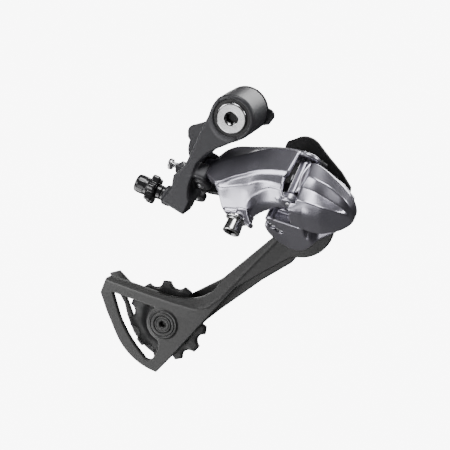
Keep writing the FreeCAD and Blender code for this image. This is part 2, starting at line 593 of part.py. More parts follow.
def p_body():
    lug = pin_disc(P_OUTER, 5.2, -P_LUG_HALF, P_LUG_HALF)
    wires = []
    for station, loop in NOSE_SECTIONS:
        corners = [V(station, e2, c) for e2, c in loop]
        wires.append(Part.makePolygon(corners + corners[:1]))
    nose = on_pins(Part.makeLoft(wires, True, True), P_OUTER)
    tongue = slab_pins((-13.0, 19.0), [(-11.0, 15.6, -8.0, 15.6), (7.2, 15.6), (8.0, 34.6), (-5, 32.2)],
                       P_LOW_FACE, -7.5, P_OUTER)
    rim = shifted(SKIRT, P_OUTER.x, P_OUTER.z)
    inside = shifted(POCKET, P_OUTER.x, P_OUTER.z)
    skirt = slab_xz(rim[0], rim[1:], PULLEY_Y + P_BARREL_BACK - 14.0, PULLEY_Y + P_BARREL_BACK)
    pocket = slab_xz(inside[0], inside[1:], PULLEY_Y + P_BARREL_BACK - 10.0, PULLEY_Y + P_BARREL_BACK + 1)
    skirt = skirt.cut(pocket)
    in_low = pin_disc(P_INNER, INNER_EAR_RADIUS, INNER_EAR_LOW, INNER_LINK_LOW - SIDE_GAP)
    in_top = pin_disc(P_INNER, INNER_EAR_RADIUS, INNER_LINK_HIGH + SIDE_GAP, INNER_EAR_HIGH)
    in_top_arm = on_pins(box((0, -9.0, INNER_LINK_HIGH + SIDE_GAP), (9.0, 4.4, INNER_EAR_HIGH)), P_INNER)
    spine = on_pins(box((4.6, -14.0, INNER_EAR_LOW - 1.5), (10.5, 4.4, INNER_EAR_HIGH)), P_INNER)
    barrel = p_cylinder(P_BARREL_RADIUS, P_BARREL_FRONT, P_BARREL_BACK)
    body = merge([lug, nose, tongue, skirt, in_low, in_top, in_top_arm, spine, barrel, stop_lug()])
    return body.cut(p_body_openings())


def stop_lug():
    """Lug beside the barrel that the cage's stop pin rests on."""
    angle = math.asin((STOP_PIN_RADIUS + SIDE_GAP) / STOP_RADIUS)
    lug_turn = math.radians(STOP_ANGLE) - angle
    lug = box((P_BARREL_RADIUS - 1, 0, -4.6), (STOP_RADIUS + 1.4, 4.5, 0))
    out = V(math.cos(lug_turn), 0, math.sin(lug_turn))
    across = V(math.sin(lug_turn), 0, -math.cos(lug_turn))
    return placed(lug, V(CAGE_X, PULLEY_Y + P_BARREL_BACK, CAGE_Z), out, across, Y_AXIS)


def p_cylinder(radius, low, high):
    """Cylinder on the cage pivot between two planes measured from the pulley plane."""
    return cylinder(V(CAGE_X, PULLEY_Y + low, CAGE_Z), Y_AXIS, radius, high - low)


def p_body_openings():
    """Bores and clearances cut from the P body."""
    outer_pin = pin_disc(P_OUTER, PIN_RADIUS, -20, 20)
    inner_pin = pin_disc(P_INNER, PIN_RADIUS, INNER_EAR_LOW + 1.2, 20)
    slot_low = -P_LUG_HALF - SIDE_GAP - P_EAR_THICKNESS_LOW - 0.4
    ear_low = pin_disc(P_OUTER, 5.2 + FREE_GAP, slot_low, -P_LUG_HALF)
    ear_arm = on_pins(box((-16, -8.0, -P_LUG_HALF - SIDE_GAP - P_EAR_THICKNESS_LOW - 0.4),
                          (-0.5, 9.0, -P_LUG_HALF)), P_OUTER)
    ear_top = pin_disc(P_OUTER, 6.4 + FREE_GAP, P_LUG_HALF, 20)
    reach = math.hypot(SKIN_FACE, 2.0)
    ring = tube(V(0, 0, -16), Z_AXIS, reach + FREE_GAP, SKIN_FACE - LINK_WALL - FREE_GAP, 32)
    sector_points = [V(0, 0, -16)]
    for angle in (-150, -120, -90, -61):
        turn = math.radians(angle)
        sector_points.append(V(16 * math.cos(turn), 16 * math.sin(turn), -16))
    sector = Part.Face(Part.makePolygon(sector_points + sector_points[:1])).extrude(V(0, 0, 32))
    skin_sweep = on_pins(ring.common(sector), P_OUTER)
    inner_sweep = pin_disc(P_INNER, INNER_BARREL_RADIUS + FREE_GAP, INNER_LINK_LOW - SIDE_GAP,
                           INNER_LINK_HIGH + SIDE_GAP)
    room = [(0, 2.6), (-16, 9.8), (-16, -15.0), (0, -2.6)]
    inner_room = slab_pins(room[0], room[1:], INNER_LINK_LOW - SIDE_GAP, INNER_LINK_HIGH + SIDE_GAP, P_INNER)
    bush_seat = p_cylinder(P_AXLE_RADIUS + RUNNING_FIT + P_BUSH_WALL + SEAT_GAP, P_AXLE_FRONT - SEAT_GAP, 0)
    cavity = p_cylinder(P_CAVITY_RADIUS, P_CAVITY_FRONT, 0)
    below = on_pins(box((-60, -40, -80), (60, 90, P_LOW_FACE)), P_OUTER)
    holes = [cylinder(point, PIN_AXIS, SCREW_RADIUS + RUNNING_FIT, LIMIT_SCREW_LENGTH + 1.0)
             for point in limit_screw_points()]
    recesses = [cylinder(point - PIN_AXIS * 3, PIN_AXIS, 2.2, 3 + LIMIT_RECESS)
                for point in limit_screw_points()]
    pin_track = pin_track_ring()
    return [outer_pin, inner_pin, ear_low, ear_arm, ear_top, skin_sweep, inner_sweep, inner_room,
            bush_seat, cavity, below, pin_track] + holes + recesses


def pin_track_ring():
    """Room behind the P body that the cage's stop pin swings through."""
    ring = p_cylinder(STOP_RADIUS + STOP_PIN_RADIUS + FREE_GAP, P_BARREL_BACK - 3.4, P_BARREL_BACK + 9)
    inner_radius = STOP_RADIUS - STOP_PIN_RADIUS - FREE_GAP
    ring = ring.cut(p_cylinder(inner_radius, P_BARREL_BACK - 20, P_BARREL_BACK + 20))
    start = STOP_ANGLE - math.degrees((STOP_PIN_RADIUS + SIDE_GAP) / STOP_RADIUS)
    corners = [V(CAGE_X, 0, CAGE_Z)]
    for i in range(4):
        turn = math.radians(start + STOP_SWEEP * i / 3)
        corners.append(V(CAGE_X + 40 * math.cos(turn), 0, CAGE_Z + 40 * math.sin(turn)))
    sector = Part.Face(Part.makePolygon(corners + corners[:1])).extrude(V(0, 40, 0))
    sector.translate(V(0, -20, 0))
    return ring.common(sector)


def limit_screw_points():
    """Where the two limit screws' axes leave the lower face of the P body."""
    face = P_OUTER + PIN_AXIS * P_LOW_FACE
    return [face + E1 * -10.0 + E2 * 23.9, face + E1 * -6.2 + E2 * 27.1]


def limit_screw(index):
    point = limit_screw_points()[index] + PIN_AXIS * LIMIT_RECESS * 0.5
    shank = cylinder(point, PIN_AXIS, SCREW_RADIUS, LIMIT_SCREW_LENGTH)
    slot = placed(box((-1.2, -0.35, -0.1), (1.2, 0.35, 1.2)), point, E1, E2, PIN_AXIS)
    cross = placed(box((-0.35, -1.2, -0.1), (0.35, 1.2, 1.2)), point, E1, E2, PIN_AXIS)
    return shank.cut([slot, cross])


def limit_screw_high():
    return limit_screw(0)


def limit_screw_low():
    return limit_screw(1)


def p_outer_pin():
    return pin_disc(P_OUTER, PIN_RADIUS, OUTER_PIN_LOW, OUTER_PIN_HIGH_P)


def p_inner_pin():
    return pin_disc(P_INNER, PIN_RADIUS, INNER_EAR_LOW + 1.2, INNER_PIN_HIGH)


def p_bush():
    inner = P_AXLE_RADIUS + RUNNING_FIT
    tube_end = P_CAVITY_FRONT - 0.1
    return p_cylinder(inner + P_BUSH_WALL, P_AXLE_FRONT, tube_end).cut(p_cylinder(inner, P_AXLE_FRONT - 1, 0))


def p_circlip():
    low = P_CAVITY_FRONT + 0.15
    ring = p_cylinder(P_AXLE_RADIUS + 1.4, low, low + CLIP_THICKNESS - 0.1)
    slot = box((CAGE_X - 1.6, -60, CAGE_Z), (CAGE_X + 1.6, 60, CAGE_Z + 8))
    return ring.cut([p_cylinder(P_AXLE_RADIUS - 0.45, low - 1, low + 2), slot])


def p_spring():
    start = P_CAVITY_FRONT + CLIP_THICKNESS + 0.4
    wire = P_SPRING_WIRE / 2
    mean = (P_AXLE_RADIUS + P_CAVITY_RADIUS) / 2
    room = P_BARREL_BACK - SEAL_THICKNESS - start - 2 * wire - 0.5
    foot = V(CAGE_X, PULLEY_Y + start, CAGE_Z)
    return coil(foot, Y_AXIS, mean, wire, room / P_SPRING_TURNS, P_SPRING_TURNS)


def p_seal_ring():
    outer = P_CAVITY_RADIUS - SEAT_GAP
    low = P_BARREL_BACK - SEAL_THICKNESS
    bore = p_cylinder(P_AXLE_RADIUS + RUNNING_FIT, low - 1, 0)
    return p_cylinder(outer, low, low + SEAL_THICKNESS).cut(bore)


# ---- cage ----
def at_axle(*point):
    return tuple(value + (CAGE_X, CAGE_Z)[i % 2] for i, value in enumerate(point))


def at_tension(*point):
    return tuple(value + (TENSION_X, TENSION_Z)[i % 2] for i, value in enumerate(point))


def bolt_holes(thread_y):
    """Through holes for both pulley bolts and the cage pivot."""
    holes = []
    for x, z in ((GUIDE_PULLEY_X, GUIDE_PULLEY_Z), (TENSION_X, TENSION_Z)):
        holes.append(cylinder(V(x, thread_y - 10, z), Y_AXIS, PULLEY_BOLT_RADIUS, 20))
    return holes


def outer_plate():
    lobe = OUTER_LOBE_RADIUS
    outline = [
        at_tension(-29.3, 22.9), at_tension(-2.6, 16.9), at_tension(12.9, 15.4),
        at_tension(24.2, 18.8, 32.3, 28.2), at_axle(-12.8, -8.2), at_axle(-8.6, -2.6, -7.6, 4.0),
        at_axle(-3.4, 13.0, 4.8, 17.8), at_axle(lobe * 0.766, lobe * 0.643, lobe, 0),
        at_axle(lobe * 0.707, -lobe * 0.707, 0, -lobe), at_axle(-4.0, -18.6), at_axle(-33.2, -37.9),
        at_tension(22.5, 4.1), at_tension(5.2, -16.5), at_tension(-4.4, -27.2),
        at_tension(-16.5, -21.4, -27.4, -6.8), at_tension(-31.9, 3.8), at_tension(-35.2, 13.5),
        at_tension(-31.8, 21.6)]
    plate = slab_xz(outline[0], outline[1:], OUTER_PLATE_FRONT, OUTER_PLATE_BACK)
    boss = cylinder(V(TENSION_X, OUTER_PLATE_FRONT - BOSS_HEIGHT, TENSION_Z), Y_AXIS, BOSS_RADIUS,
                    OUTER_PLATE_THICKNESS + BOSS_HEIGHT)
    window_path = [at_tension(-27.9, 14.1), at_tension(-5.3, 8.6),
                   at_tension(-9.6, 0.0, -3.4, -9.4), at_tension(-3.2, -11.0, -5.6, -17.4),
                   at_tension(-8.0, -20.6, -11.2, -18.8), at_tension(-19.6, -8.0, -24.2, 1.6)]
    window = slab_xz(window_path[0], window_path[1:], OUTER_PLATE_FRONT - 5, OUTER_PLATE_BACK + 1)
    recess = cylinder(V(TENSION_X, OUTER_PLATE_FRONT - 5, TENSION_Z), Y_AXIS, PULLEY_HEAD_RADIUS + 0.1,
                      5 + PULLEY_HEAD_HEIGHT - BOSS_HEIGHT)
    axle_hole = p_cylinder(P_AXLE_RADIUS, -20, 0)
    pin_hole = cylinder(stop_pin_base(), Y_AXIS, STOP_PIN_RADIUS, 20)
    return merge([plate, boss]).cut([window, recess, axle_hole, pin_hole] + bolt_holes(OUTER_PLATE_FRONT))


def inner_plate():
    outline = [
        at_tension(-28.8, 22.6), at_tension(-21.8, 16.0), at_tension(-8.0, 9.6, 6.0, 12.0),
        at_tension(11.8, 14.7), at_tension(27.7, 24.1), at_axle(-38.0, -32.4), at_axle(-16.0, -11.4),
        at_axle(-11.2, 35.6), at_axle(-10.0, 38.0), at_axle(-5.6, 39.8), at_axle(0.6, 41.2, 6.4, 38.2),
        at_axle(12.0, 31.5), at_axle(18.6, 24.4), at_axle(23.3, 17.2), at_axle(21.8, 5.0),
        at_axle(14.0, -4.0), at_axle(10.6, -13.0, 2.0, -19.6), at_axle(-5.0, -22.4),
        at_axle(-7.4, -25.4), at_axle(-23.0, -36.2), at_tension(27.0, 7.2), at_tension(19.4, 0.4),
        at_tension(6.0, -14.6), at_tension(-4.6, -23.6), at_tension(-14.0, -18.6, -21.4, -10.6),
        at_tension(-24.9, -1.7), at_tension(-26.4, 5.1), at_tension(-29.9, 11.0), at_tension(-34.6, 20.6)]
    plate = slab_xz(outline[0], outline[1:], INNER_PLATE_FRONT, INNER_PLATE_BACK)
    window_path = [at_tension(-26.0, 11.4), at_tension(-14.0, 9.6), at_tension(-8.2, 5.4, -8.6, -3.0),
                   at_tension(-9.0, -9.0, -13.0, -13.4), at_tension(-20.0, -4.6)]
    window = slab_xz(window_path[0], window_path[1:], INNER_PLATE_FRONT - 1, INNER_PLATE_BACK + 1)
    return plate.cut([window] + bolt_holes(INNER_PLATE_FRONT))


def p_axle():
    shaft = p_cylinder(P_AXLE_RADIUS, P_AXLE_FRONT, OUTER_PLATE_BACK - PULLEY_Y)
    low = P_CAVITY_FRONT + 0.1
    groove = p_cylinder(P_AXLE_RADIUS + 1, low, low + CLIP_THICKNESS)
    groove = groove.cut(p_cylinder(P_AXLE_RADIUS - 0.5, low - 1, low + 2))
    return shaft.cut(groove)


def stop_pin_base():
    turn = math.radians(STOP_ANGLE)
    front = PULLEY_Y + P_BARREL_BACK - 3.0
    return V(CAGE_X + STOP_RADIUS * math.cos(turn), front, CAGE_Z + STOP_RADIUS * math.sin(turn))


def cage_stop_pin():
    base = stop_pin_base()
    return cylinder(base, Y_AXIS, STOP_PIN_RADIUS, OUTER_PLATE_BACK - 0.4 - base.y)


def pulley_bolt(x, z, head_front, reach, side):
    """Bolt with a hex socket head; side is the direction it points."""
    axis = Y_AXIS * side
    head = cylinder(V(x, head_front, z), axis, PULLEY_HEAD_RADIUS, PULLEY_HEAD_HEIGHT)
    shank = cylinder(V(x, head_front, z), axis, PULLEY_BOLT_RADIUS, reach)
    return merge([head, shank]).cut(hexagon(V(x, head_front, z), axis, PULLEY_HEX, PULLEY_HEAD_HEIGHT + 0.8))


def tension_pulley_bolt():
    front = OUTER_PLATE_FRONT - BOSS_HEIGHT
    return pulley_bolt(TENSION_X, TENSION_Z, front, INNER_PLATE_BACK + 0.4 - front, 1)


def guide_pulley_bolt():
    front = INNER_PLATE_BACK + PULLEY_HEAD_HEIGHT
    return pulley_bolt(GUIDE_PULLEY_X, GUIDE_PULLEY_Z, front, front - OUTER_PLATE_FRONT, -1)


def pulley_bush(x, z):
    start = V(x, OUTER_PLATE_BACK + 0.05, z)
    return tube(start, Y_AXIS, BUSH_RADIUS, PULLEY_BOLT_RADIUS + SEAT_GAP, CAGE_GAP - 0.1)


def dust_caps(x, z):
    """Two thin washers between a pulley and the plates."""
    caps = []
    for start in (OUTER_PLATE_BACK + 0.1, INNER_PLATE_FRONT - 0.1 - DUST_CAP_THICKNESS):
        caps.append(tube(V(x, start, z), Y_AXIS, DUST_CAP_RADIUS, BUSH_RADIUS + SEAT_GAP, DUST_CAP_THICKNESS))
    return Part.makeCompound(caps)


def pulley(x, z):
    """Toothed plastic pulley with a thicker hub and rounded roller seats."""
    disc = cylinder(V(x, PULLEY_Y - TOOTH_WIDTH / 2, z), Y_AXIS, TOOTH_TIP_RADIUS, TOOTH_WIDTH)
    hub = cylinder(V(x, PULLEY_Y - HUB_WIDTH / 2, z), Y_AXIS, HUB_RADIUS, HUB_WIDTH)
    pitch_radius = CHAIN_PITCH / 2 / math.sin(math.pi / TEETH)
    seats = []
    for i in range(TEETH):
        angle = 2 * math.pi * (i + 0.5) / TEETH + math.pi / 2
        centre = V(x + pitch_radius * math.cos(angle), PULLEY_Y - TOOTH_WIDTH,
                   z + pitch_radius * math.sin(angle))
        seats.append(cylinder(centre, Y_AXIS, ROLLER_SEAT_RADIUS, TOOTH_WIDTH * 2))
    bore = cylinder(V(x, PULLEY_Y - HUB_WIDTH, z), Y_AXIS, BUSH_RADIUS + RUNNING_FIT, HUB_WIDTH * 2)
    return merge([disc, hub]).cut(seats + [bore])


def guide_pulley():
    return pulley(GUIDE_PULLEY_X, GUIDE_PULLEY_Z)


def tension_pulley():
    return pulley(TENSION_X, TENSION_Z)


def guide_bush():
    return pulley_bush(GUIDE_PULLEY_X, GUIDE_PULLEY_Z)


def tension_bush():
    return pulley_bush(TENSION_X, TENSION_Z)


def guide_dust_caps():
    return dust_caps(GUIDE_PULLEY_X, GUIDE_PULLEY_Z)


def tension_dust_caps():
    return dust_caps(TENSION_X, TENSION_Z)


NODES = [
    b_axle_bolt, b_retaining_ring, b_stop_plate, b_knuckle, b_bush, b_spring, b_outer_pin, b_inner_pin,
    return_spring, b_tension_screw, cable_adjuster, adjuster_bolt, outer_link, cable_clamp_washer,
    cable_clamp_bolt, inner_link, p_body, limit_screw_high, limit_screw_low, p_outer_pin, p_inner_pin,
    p_bush, p_circlip, p_spring, p_seal_ring, outer_plate, inner_plate, p_axle, cage_stop_pin,
    tension_pulley_bolt, guide_pulley_bolt, guide_bush, tension_bush, guide_dust_caps, tension_dust_caps,
    guide_pulley, tension_pulley,
]

os.makedirs("parts", exist_ok=True)
for build in NODES:
    shape = build()
    shape.exportStep("parts/" + build.__name__ + ".step")
    print(build.__name__, shape.isValid(), len(shape.Solids), round(shape.Volume, 1))
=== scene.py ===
"""Rear bicycle derailleur: the visual model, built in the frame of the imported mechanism.

Lengths are millimetres inside the modelling classes and become metres when a mesh is made.
The row frame has +X forward, +Y inboard and +Z up, with its origin on the hanger bolt's seat.
"""

from __future__ import annotations

import logging
import math
from dataclasses import dataclass, field, replace
from enum import Enum
from typing import Callable, Sequence

import bpy
import numpy as np
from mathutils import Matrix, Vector

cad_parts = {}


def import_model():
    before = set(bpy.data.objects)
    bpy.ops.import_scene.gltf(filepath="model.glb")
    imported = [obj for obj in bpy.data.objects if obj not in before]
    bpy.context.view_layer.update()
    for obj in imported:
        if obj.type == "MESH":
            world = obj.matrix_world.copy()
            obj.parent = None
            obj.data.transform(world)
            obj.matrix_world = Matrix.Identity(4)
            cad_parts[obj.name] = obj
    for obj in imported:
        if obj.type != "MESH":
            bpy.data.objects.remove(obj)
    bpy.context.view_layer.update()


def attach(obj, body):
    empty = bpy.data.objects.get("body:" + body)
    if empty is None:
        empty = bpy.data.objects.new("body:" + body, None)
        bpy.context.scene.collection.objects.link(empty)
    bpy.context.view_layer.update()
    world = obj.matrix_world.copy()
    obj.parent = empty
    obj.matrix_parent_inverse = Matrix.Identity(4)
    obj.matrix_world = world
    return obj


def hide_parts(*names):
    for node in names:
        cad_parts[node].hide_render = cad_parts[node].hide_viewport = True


LOG = logging.getLogger("derailleur")
MM = 0.001
Array = np.ndarray
Point2 = tuple[float, float]
Point3 = tuple[float, float, float]
FINE = 0.2
MEDIUM = 0.3
BROAD = 0.36


# ---------------------------------------------------------------------------
# Axes and layout
# ---------------------------------------------------------------------------
@dataclass(frozen=True)
class Axes:
    """A set of axes placed in the row frame.

    Args:
        origin: where the axes meet, in millimetres.
        rows: 3 by 3 array whose rows are the local X, Y and Z directions.
    """

    origin: Array
    rows: Array

    def world(self, points: Array) -> Array:
        """Moves local points into the row frame.

        Args:
            points: N by 3 local points.

        Returns:
            N by 3 points in the row frame.
        """
        return points @ self.rows + self.origin

    def moved(self, x: float, y: float, z: float) -> "Axes":
        """Copies the axes with their origin moved along themselves.

        Args:
            x: distance along the local X direction.
            y: distance along the local Y direction.
            z: distance along the local Z direction.

        Returns:
            The moved axes.
        """
        return Axes(self.world(np.array([[x, y, z]]))[0], self.rows)


def along(origin: Sequence[float], direction: Sequence[float]) -> Axes:
    """Makes axes whose Z runs along a direction.

    Args:
        origin: where the axes meet.
        direction: the local Z direction.

    Returns:
        The axes.
    """
    z = np.array(direction, float)
    z /= np.linalg.norm(z)
    helper = np.array([0.0, 1.0, 0.0]) if abs(z[1]) < 0.9 else np.array([1.0, 0.0, 0.0])
    x = np.cross(helper, z)
    x /= np.linalg.norm(x)
    return Axes(np.array(origin, float), np.array([x, np.cross(z, x), z]))


ROW = Axes(np.zeros(3), np.eye(3))


@dataclass(frozen=True)
class Layout:
    """Where the mechanism's axes are, from the same sizes as the solid model."""

    pin_rise: float = 46.17
    pin_turn: float = 14.23
    link_angle: float = -20.0
    link_length: float = 52.7
    outer_pivot: Point3 = (-16.3, -9.3, -28.1)
    inner_back: float = 4.0
    inner_in: float = 16.5
    pulley_plane: float = 32.7
    cage_x: float = -8.7
    cage_z: float = -29.3
    cage_length: float = 96.0
    cage_angle: float = 220.4
    guide_x: float = -1.0
    guide_z: float = 12.0
    adjuster_mouth: Point3 = (-52.3, -17.0, -38.3)
    adjuster_fall: float = 18.0
    b_screw_head: Point3 = (-41.0, -2.0, -31.4)
    b_screw_fall: float = 9.0

    @property
    def pins(self) -> Axes:
        """Axes at the outer B pin whose Z runs along the pins."""
        flat = math.cos(math.radians(self.pin_rise))
        turn = math.radians(self.pin_turn)
        z = np.array([flat * math.sin(turn), flat * math.cos(turn), math.sin(math.radians(self.pin_rise))])
        x = np.array([z[2], 0.0, -z[0]])
        x /= np.linalg.norm(x)
        return Axes(np.array(self.outer_pivot), np.array([x, np.cross(z, x), z]))

    @property
    def link(self) -> Axes:
        """Axes at the outer B pin whose X runs along the outer link."""
        pins = self.pins
        angle = math.radians(self.link_angle)
        x = pins.rows[0] * math.cos(angle) + pins.rows[1] * math.sin(angle)
        y = pins.rows[1] * math.cos(angle) - pins.rows[0] * math.sin(angle)
        return Axes(pins.origin, np.array([x, y, pins.rows[2]]))

    @property
    def inner_pins(self) -> Axes:
        """Pin axes at the inner B pin."""
        return self.pins.moved(-self.inner_back, self.inner_in, 0.0)

    @property
    def rear(self) -> Axes:
        """Pin axes at the outer P pin."""
        return Axes(self.link.moved(self.link_length, 0.0, 0.0).origin, self.pins.rows)

    @property
    def rear_inner(self) -> Axes:
        """Pin axes at the inner P pin."""
        return self.rear.moved(-self.inner_back, self.inner_in, 0.0)

    @property
    def pulley_y(self) -> float:
        """Middle plane of both pulleys."""
        return float(self.rear.origin[1]) + self.pulley_plane

    @property
    def axle(self) -> Point2:
        """Cage pivot in X and Z."""
        origin = self.rear.origin
        return float(origin[0]) + self.cage_x, float(origin[2]) + self.cage_z

    @property
    def guide(self) -> Point2:
        """Guide pulley centre in X and Z."""
        return self.axle[0] + self.guide_x, self.axle[1] + self.guide_z

    @property
    def tension(self) -> Point2:
        """Tension pulley centre in X and Z."""
        turn = math.radians(self.cage_angle)
        return (self.axle[0] + self.cage_length * math.cos(turn),
                self.axle[1] + self.cage_length * math.sin(turn))

    @property
    def adjuster(self) -> Axes:
        """Axes at the adjuster's mouth, Z pointing into the bracket."""
        fall = math.radians(self.adjuster_fall)
        return along(self.adjuster_mouth, (math.cos(fall), 0.0, -math.sin(fall)))

    @property
    def b_screw(self) -> Axes:
        """Axes at the B-tension screw's head, Z pointing along it."""
        fall = math.radians(self.b_screw_fall)
        return along(self.b_screw_head, (math.cos(fall), 0.0, -math.sin(fall)))


PLAN = Layout()


# ---------------------------------------------------------------------------
# Distance fields and their meshes
# ---------------------------------------------------------------------------
def soft_min(a: Array, b: Array, blend: float) -> Array:
    """Joins two distance arrays with a fillet.

    Args:
        a: first distances.
        b: second distances.
        blend: size of the fillet, 0 for none.

    Returns:
        The joined distances.
    """
    if blend <= 0:
        return np.minimum(a, b)
    share = np.clip(0.5 + 0.5 * (b - a) / blend, 0.0, 1.0)
    return b + (a - b) * share - blend * share * (1.0 - share)


def soft_max(a: Array, b: Array, blend: float) -> Array:
    """Keeps what two distance arrays share, with a rounded edge.

    Args:
        a: first distances.
        b: second distances.
        blend: size of the rounding, 0 for none.

    Returns:
        The shared distances.
    """
    return -soft_min(-a, -b, blend)


Coordinates = tuple[Array, Array, Array]


def rod(q: Coordinates, radius: float, low: float, high: float, edge: float = 0.3) -> Array:
    """Distance to a cylinder along local Z with rounded rims.

    Args:
        q: local coordinates.
        radius: its radius.
        low: its lower end.
        high: its upper end.
        edge: rounding of the rims.

    Returns:
        The distances.
    """
    radial = np.sqrt(q[0] ** 2 + q[1] ** 2) - radius
    return soft_max(radial, np.maximum(low - q[2], q[2] - high), edge * 2)


def cone(q: Coordinates, low_radius: float, high_radius: float, low: float, high: float,
         edge: float = 0.2) -> Array:
    """Distance to a tapered rod along local Z.

    Args:
        q: local coordinates.
        low_radius: radius at the lower end.
        high_radius: radius at the upper end.
        low: the lower end.
        high: the upper end.
        edge: rounding of the rims.

    Returns:
        The distances.
    """
    slope = (high_radius - low_radius) / (high - low)
    radius = low_radius + (q[2] - low) * slope
    radial = (np.sqrt(q[0] ** 2 + q[1] ** 2) - radius) / math.sqrt(1 + slope * slope)
    return soft_max(radial, np.maximum(low - q[2], q[2] - high), edge * 2)


def block(q: Coordinates, low: Point3, high: Point3, edge: float = 0.6) -> Array:
    """Distance to a box with rounded edges.

    Args:
        q: local coordinates.
        low: lowest corner.
        high: highest corner.
        edge: radius of the edges.

    Returns:
        The distances.
    """
    reach = [np.abs(q[i] - (low[i] + high[i]) / 2) - (high[i] - low[i]) / 2 + edge for i in range(3)]
    outside = np.sqrt(sum(np.maximum(r, 0) ** 2 for r in reach))
    inside = np.minimum(np.maximum(np.maximum(reach[0], reach[1]), reach[2]), 0)
    return outside + inside - edge


def hexagon(q: Coordinates, across: float, low: float, high: float) -> Array:
    """Distance to a hexagonal prism along local Z.

    Args:
        q: local coordinates.
        across: size across the flats.
        low: its lower end.
        high: its upper end.

    Returns:
        The distances.
    """
    flats = np.abs(q[1])
    for turn in (60.0, 120.0):
        angle = math.radians(turn)
        flats = np.maximum(flats, np.abs(q[1] * math.cos(angle) + q[0] * math.sin(angle)))
    return np.maximum(flats - across / 2, np.maximum(low - q[2], q[2] - high))


class Outline:
    """A closed outline of straight lines and arcs."""

    def __init__(self, start: Point2) -> None:
        """Starts the outline.

        Args:
            start: its first point.
        """
        self.points: list[Point2] = [start]

    def line(self, *points: Point2) -> "Outline":
        """Adds straight lines.

        Args:
            points: the corners to reach in order.

        Returns:
            This outline.
        """
        self.points.extend(points)
        return self

    def arc(self, middle: Point2, end: Point2, pieces: int = 10) -> "Outline":
        """Adds a circular arc through a middle point.

        Args:
            middle: a point that the arc passes.
            end: where it ends.
            pieces: how many straight pieces stand for it.

        Returns:
            This outline.
        """
        a, b, c = (complex(*p) for p in (self.points[-1], middle, end))
        w = (c - a) / (b - a)
        centre = (b - a) * (w - abs(w) ** 2) / (2j * w.imag) + a if abs(w.imag) > 1e-9 else None
        if centre is None:
            return self.line(middle, end)
        radius = abs(a - centre)
        first = np.angle(a - centre)
        turn_middle = (np.angle(b - centre) - first) % (2 * math.pi)
        turn_end = (np.angle(c - centre) - first) % (2 * math.pi)
        if turn_middle > turn_end:
            turn_end -= 2 * math.pi
        for i in range(1, pieces + 1):
            angle = first + turn_end * i / pieces
            self.points.append((centre.real + radius * math.cos(angle), centre.imag + radius * math.sin(angle)))
        return self

    def shifted(self, centre: Point2) -> "Outline":
        """Copies the outline with its points measured from a centre.

        Args:
            centre: the new origin.

        Returns:
            The moved outline.
        """
        moved = Outline((0.0, 0.0))
        moved.points = [(x + centre[0], y + centre[1]) for x, y in self.points]
        return moved

    def distance(self, x: Array, y: Array) -> Array:
        """Signed distance to the outline, negative inside.

        Args:
            x: first coordinates.
            y: second coordinates.

        Returns:
            The distances.
        """
        x, y = np.broadcast_arrays(x, y)
        best = np.full(x.shape, 1e9, np.float32)
        inside = np.zeros(x.shape, bool)
        for (ax, ay), (bx, by) in zip(self.points, self.points[1:] + self.points[:1]):
            ex, ey = bx - ax, by - ay
            size = ex * ex + ey * ey
            if size < 1e-9:
                continue
            share = np.clip(((x - ax) * ex + (y - ay) * ey) / size, 0.0, 1.0)
            best = np.minimum(best, (x - ax - ex * share) ** 2 + (y - ay - ey * share) ** 2)
            crosses = (ay > y) != (by > y)
            if abs(ey) > 1e-9:
                inside ^= crosses & (x < ax + (y - ay) * ex / ey)
        return np.where(inside, -np.sqrt(best), np.sqrt(best)).astype(np.float32)


def rounded(distance: Array, depth: Array, edge: float) -> Array:
    """Distance to an outline given thickness, with rounded rims.

    Args:
        distance: distance to the outline.
        depth: distance to the slab between its faces.
        edge: radius of the rims.

    Returns:
        The distances.
    """
    a = distance + edge
    b = depth + edge
    outside = np.sqrt(np.maximum(a, 0) ** 2 + np.maximum(b, 0) ** 2)
    return outside + np.minimum(np.maximum(a, b), 0) - edge


class Field:
    """Distances in millimetres on a regular grid in one set of axes."""

    def __init__(self, axes: Axes, low: Point3, high: Point3, step: float) -> None:
        """Makes an empty field.

        Args:
            axes: the axes of the grid.
            low: lowest corner in those axes.
            high: highest corner.
            step: grid spacing.
        """
        self.axes = axes
        self.low = np.array(low, np.float32)
        self.step = step * 1.0
        counts = [int(math.ceil((high[i] - low[i]) / self.step)) + 1 for i in range(3)]
        lines = [(low[i] + self.step * np.arange(counts[i])).astype(np.float32) for i in range(3)]
        self.lines = lines
        self.here: Coordinates = (lines[0][:, None, None], lines[1][None, :, None], lines[2][None, None, :])
        self.values = np.full(counts, 50.0, np.float32)

    def at(self, axes: Axes) -> Coordinates:
        """Grid coordinates measured in other axes.

        Args:
            axes: the other axes.

        Returns:
            Three arrays that broadcast to the grid.
        """
        turn = axes.rows @ self.axes.rows.T
        shift = axes.rows @ (self.axes.origin - axes.origin)
        result = []
        for row, offset in zip(turn, shift):
            total = np.float32(offset)
            for weight, line in zip(row, self.here):
                if abs(weight) > 1e-6:
                    total = total + np.float32(weight) * line
            result.append(total)
        return result[0], result[1], result[2]

    def join(self, shape: Array, blend: float = 0.8) -> "Field":
        """Adds a shape.

        Args:
            shape: its distances.
            blend: fillet size.

        Returns:
            This field.
        """
        self.values = soft_min(self.values, shape, blend)
        return self

    def cut(self, shape: Array, blend: float = 0.4) -> "Field":
        """Removes a shape.

        Args:
            shape: its distances.
            blend: rounding of the new edges.

        Returns:
            This field.
        """
        self.values = soft_max(self.values, -shape, blend)
        return self

    def keep(self, shape: Array, blend: float = 0.4) -> "Field":
        """Keeps only what lies in a shape.

        Args:
            shape: its distances.
            blend: rounding of the new edges.

        Returns:
            This field.
        """
        self.values = soft_max(self.values, shape, blend)
        return self


